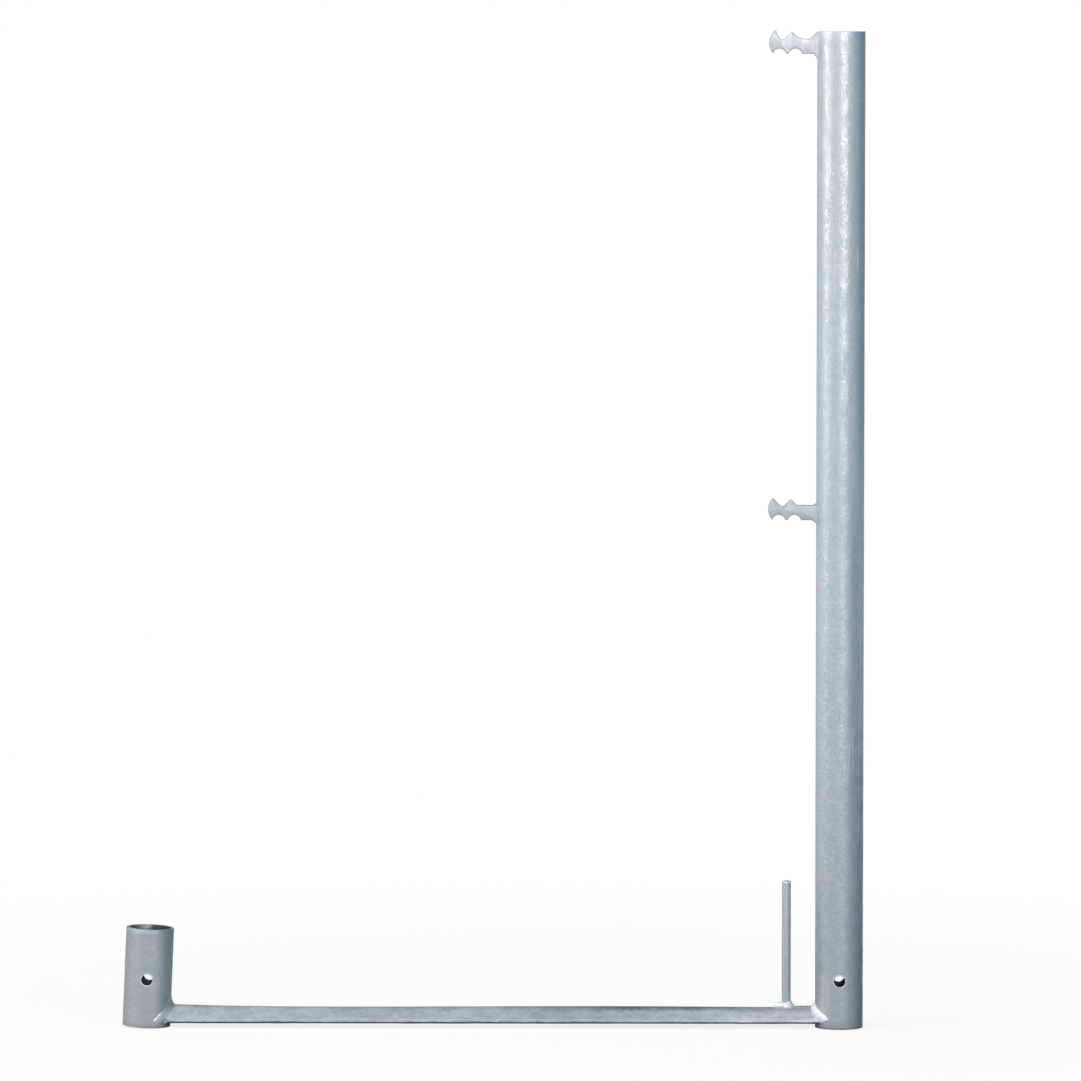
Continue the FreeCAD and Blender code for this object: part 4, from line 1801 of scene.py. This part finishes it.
POST_ZINC = ZincFinish(
    Coat.POST,
    bright=(0.755, 0.765, 0.785),
    dull=(0.63, 0.65, 0.675),
    stain_and_shade=(0.44, 0.46, 0.48),
    # Painted light and shade: the tube darker and bluer towards its foot, and its left and right sides
    # lighter or darker by height.
    bands=(
        Band((0.92, 0.98, 1.0), 0.92, 0.6),
        Band((0.83, 0.8, 0.785), 0.6, 0.06, 0.95),
        FOOT_DARKENING,
        Band((1.24, 1.18, 1.16), 0.9, 0.5, side=Side.LEFT),
        Band((0.78, 0.84, 0.86), 0.17, 0.05, side=Side.LEFT),
        Band((1.28, 1.25, 1.22), 0.7, 0.5, side=Side.RIGHT),
        Band((0.62, 0.66, 0.68), 0.45, 0.15, side=Side.RIGHT),
        Band((0.78, 0.8, 0.81), 0.15, 0.05, side=Side.RIGHT),
        Band((1.22, 1.24, 1.26), 0.46, 0.56, side=Side.RIGHT, edge=(0.3, 0.55)),
        Band((0.82, 0.81, 0.8), 0.46, 0.56, side=Side.RIGHT, edge=(0.65, 0.82)),
        Band((1.17, 1.1, 1.065), 0.075, 0.045, side=Side.LEFT, edge=(0.3, 0.6)),
        Band((0.945, 0.91, 0.9), 0.075, 0.045, side=Side.LEFT, edge=(0.7, 0.95)),
    ),
    bore_shadow=0.95,
)

FINISHES = (
    POST_ZINC,
    # The socket's copy of the tube's zinc. Its bands are painted light and shade: the whole socket darker,
    # its left and right sides lighter or darker by height, and the top of its mouth darker.
    replace(
        POST_ZINC,
        coat=Coat.SOCKET,
        bands=(
            Band((0.77, 0.79, 0.79), 0.3, 0.15),
            FOOT_DARKENING,
            Band((1.0, 0.967, 0.963), 0.3, 0.15, side=Side.LEFT),
            Band((1.07, 1.03, 1.01), 0.085, 0.045, side=Side.LEFT),
            Band((0.703, 0.745, 0.766), 0.3, 0.15, side=Side.RIGHT),
            Band((1.18, 1.12, 1.065), 0.105, 0.07, side=Side.RIGHT, edge=(0.15, 0.45)),
            # Painted shade over the mouth's rim, which dims the key lamp's highlight there.
            Band((0.55, 0.56, 0.57), 0.07, 0.09, side=Side.TOP, edge=(0.2, 0.7)),
        ),
    ),
    ZincFinish(
        Coat.BAR,
        bright=(0.53, 0.55, 0.59),
        dull=(0.4, 0.42, 0.455),
        stain_and_shade=(0.36, 0.38, 0.4),
        tint=(0.95, 1.0, 0.975),
        gloss=(0.47, 0.56),
        cloud_scale=75.0,
        grain=(0.6, 1.0, 1.0),
        stretch=(26.0, 150.0, 150.0),
        bands=(
            Band((0.62, 0.63, 0.64), 15.5 * MM, 20.0 * MM, 0.7),
            # Painted reflection: a light band along the rounded lower edges.
            Band((1.18, 1.17, 1.27), 10.6 * MM, 8.4 * MM, 0.9),
            # Painted shade: a dark blue band along the lower edges and their zinc rolls.
            Band((0.23, 0.235, 0.37), 7.8 * MM, 6.6 * MM, 0.95),
            Band((1.25, 1.22, 1.2), 15 * MM, 19.5 * MM, reach=(-0.8, -0.75, -0.54, -0.44)),
            Band((0.58, 0.55, 0.55), 15 * MM, 19.5 * MM, reach=(-0.28, -0.21, -0.12, -0.09)),
            Band((1.1, 1.1, 1.1), 40 * MM, 30 * MM, reach=(-0.8, -0.75, -0.67, -0.63)),
            Band((0.85, 0.86, 0.86), 40 * MM, 30 * MM, reach=(-0.36, -0.27, -0.24, -0.19)),
            Band((1.25, 1.22, 1.19), 17.5 * MM, 14 * MM, reach=(-0.15, -0.08, 0.0, 0.1)),
        ),
    ),
    ZincFinish(
        Coat.ROD,
        bright=(0.63, 0.65, 0.665),
        dull=(0.53, 0.555, 0.575),
        stain_and_shade=(0.42, 0.44, 0.46),
    ),
    ZincFinish(
        Coat.PLATE,
        bright=(0.77, 0.78, 0.8),
        dull=(0.68, 0.695, 0.72),
        stain_and_shade=(0.42, 0.44, 0.46),
        gloss=(0.5, 0.6),
        streak_share=0.1,
        # Painted shade: the lower peg darker and bluer than the upper one, by height.
        bands=(Band((0.8, 0.845, 0.875), 0.98, 0.55),),
        # Cut edges darker and rougher: duller zinc, with painted shade where they face upwards.
        cut_edge=0.9,
    ),
    ZincFinish(
        Coat.WELD,
        bright=(0.92, 0.92, 0.935),
        dull=(0.78, 0.78, 0.81),
        stain_and_shade=(0.5, 0.51, 0.53),
        gloss=(0.42, 0.58),
        streak_share=0.1,
        cloud_scale=160.0,
        crystal_scale=300.0,
    ),
    # The fillet's copy of the weld metal: darker and warmer, with painted shade for the corner between the
    # socket and the bar.
    ZincFinish(
        Coat.FILLET,
        bright=(0.68, 0.665, 0.65),
        dull=(0.58, 0.575, 0.565),
        stain_and_shade=(0.44, 0.45, 0.46),
        bands=(
            # Painted light on the fillet's lower part, and painted shade at its foot along the bar's lower
            # edge.
            Band((1.4, 1.38, 1.36), 24 * MM, 16 * MM),
            Band((0.45, 0.45, 0.55), 11 * MM, 8.5 * MM, 0.9),
        ),
    ),
)


def main() -> None:
    """Build the frame's pieces in order, then the studio around them."""
    logging.basicConfig(level=logging.INFO, format="%(message)s")
    effects = ZincEffects()
    bench = Bench({finish.coat: finish.material(effects) for finish in FINISHES})
    TubeWork("post_tube", POST_LENGTH, ORIGIN, 0.0, Coat.POST).build(bench)
    TubeWork("socket_tube", SOCKET_LENGTH, SOCKET_FOOT, SOCKET_LEAN, Coat.SOCKET).build(bench)
    FootBar().build(bench)
    ToeBoardPin().build(bench)
    RailPeg("upper_rail_peg").build(bench)
    RailPeg("lower_rail_peg").build(bench)
    WeldWork().build(bench)
    ZincTraces().build(bench)
    Studio().build()


if __name__ == "__main__":
    main()
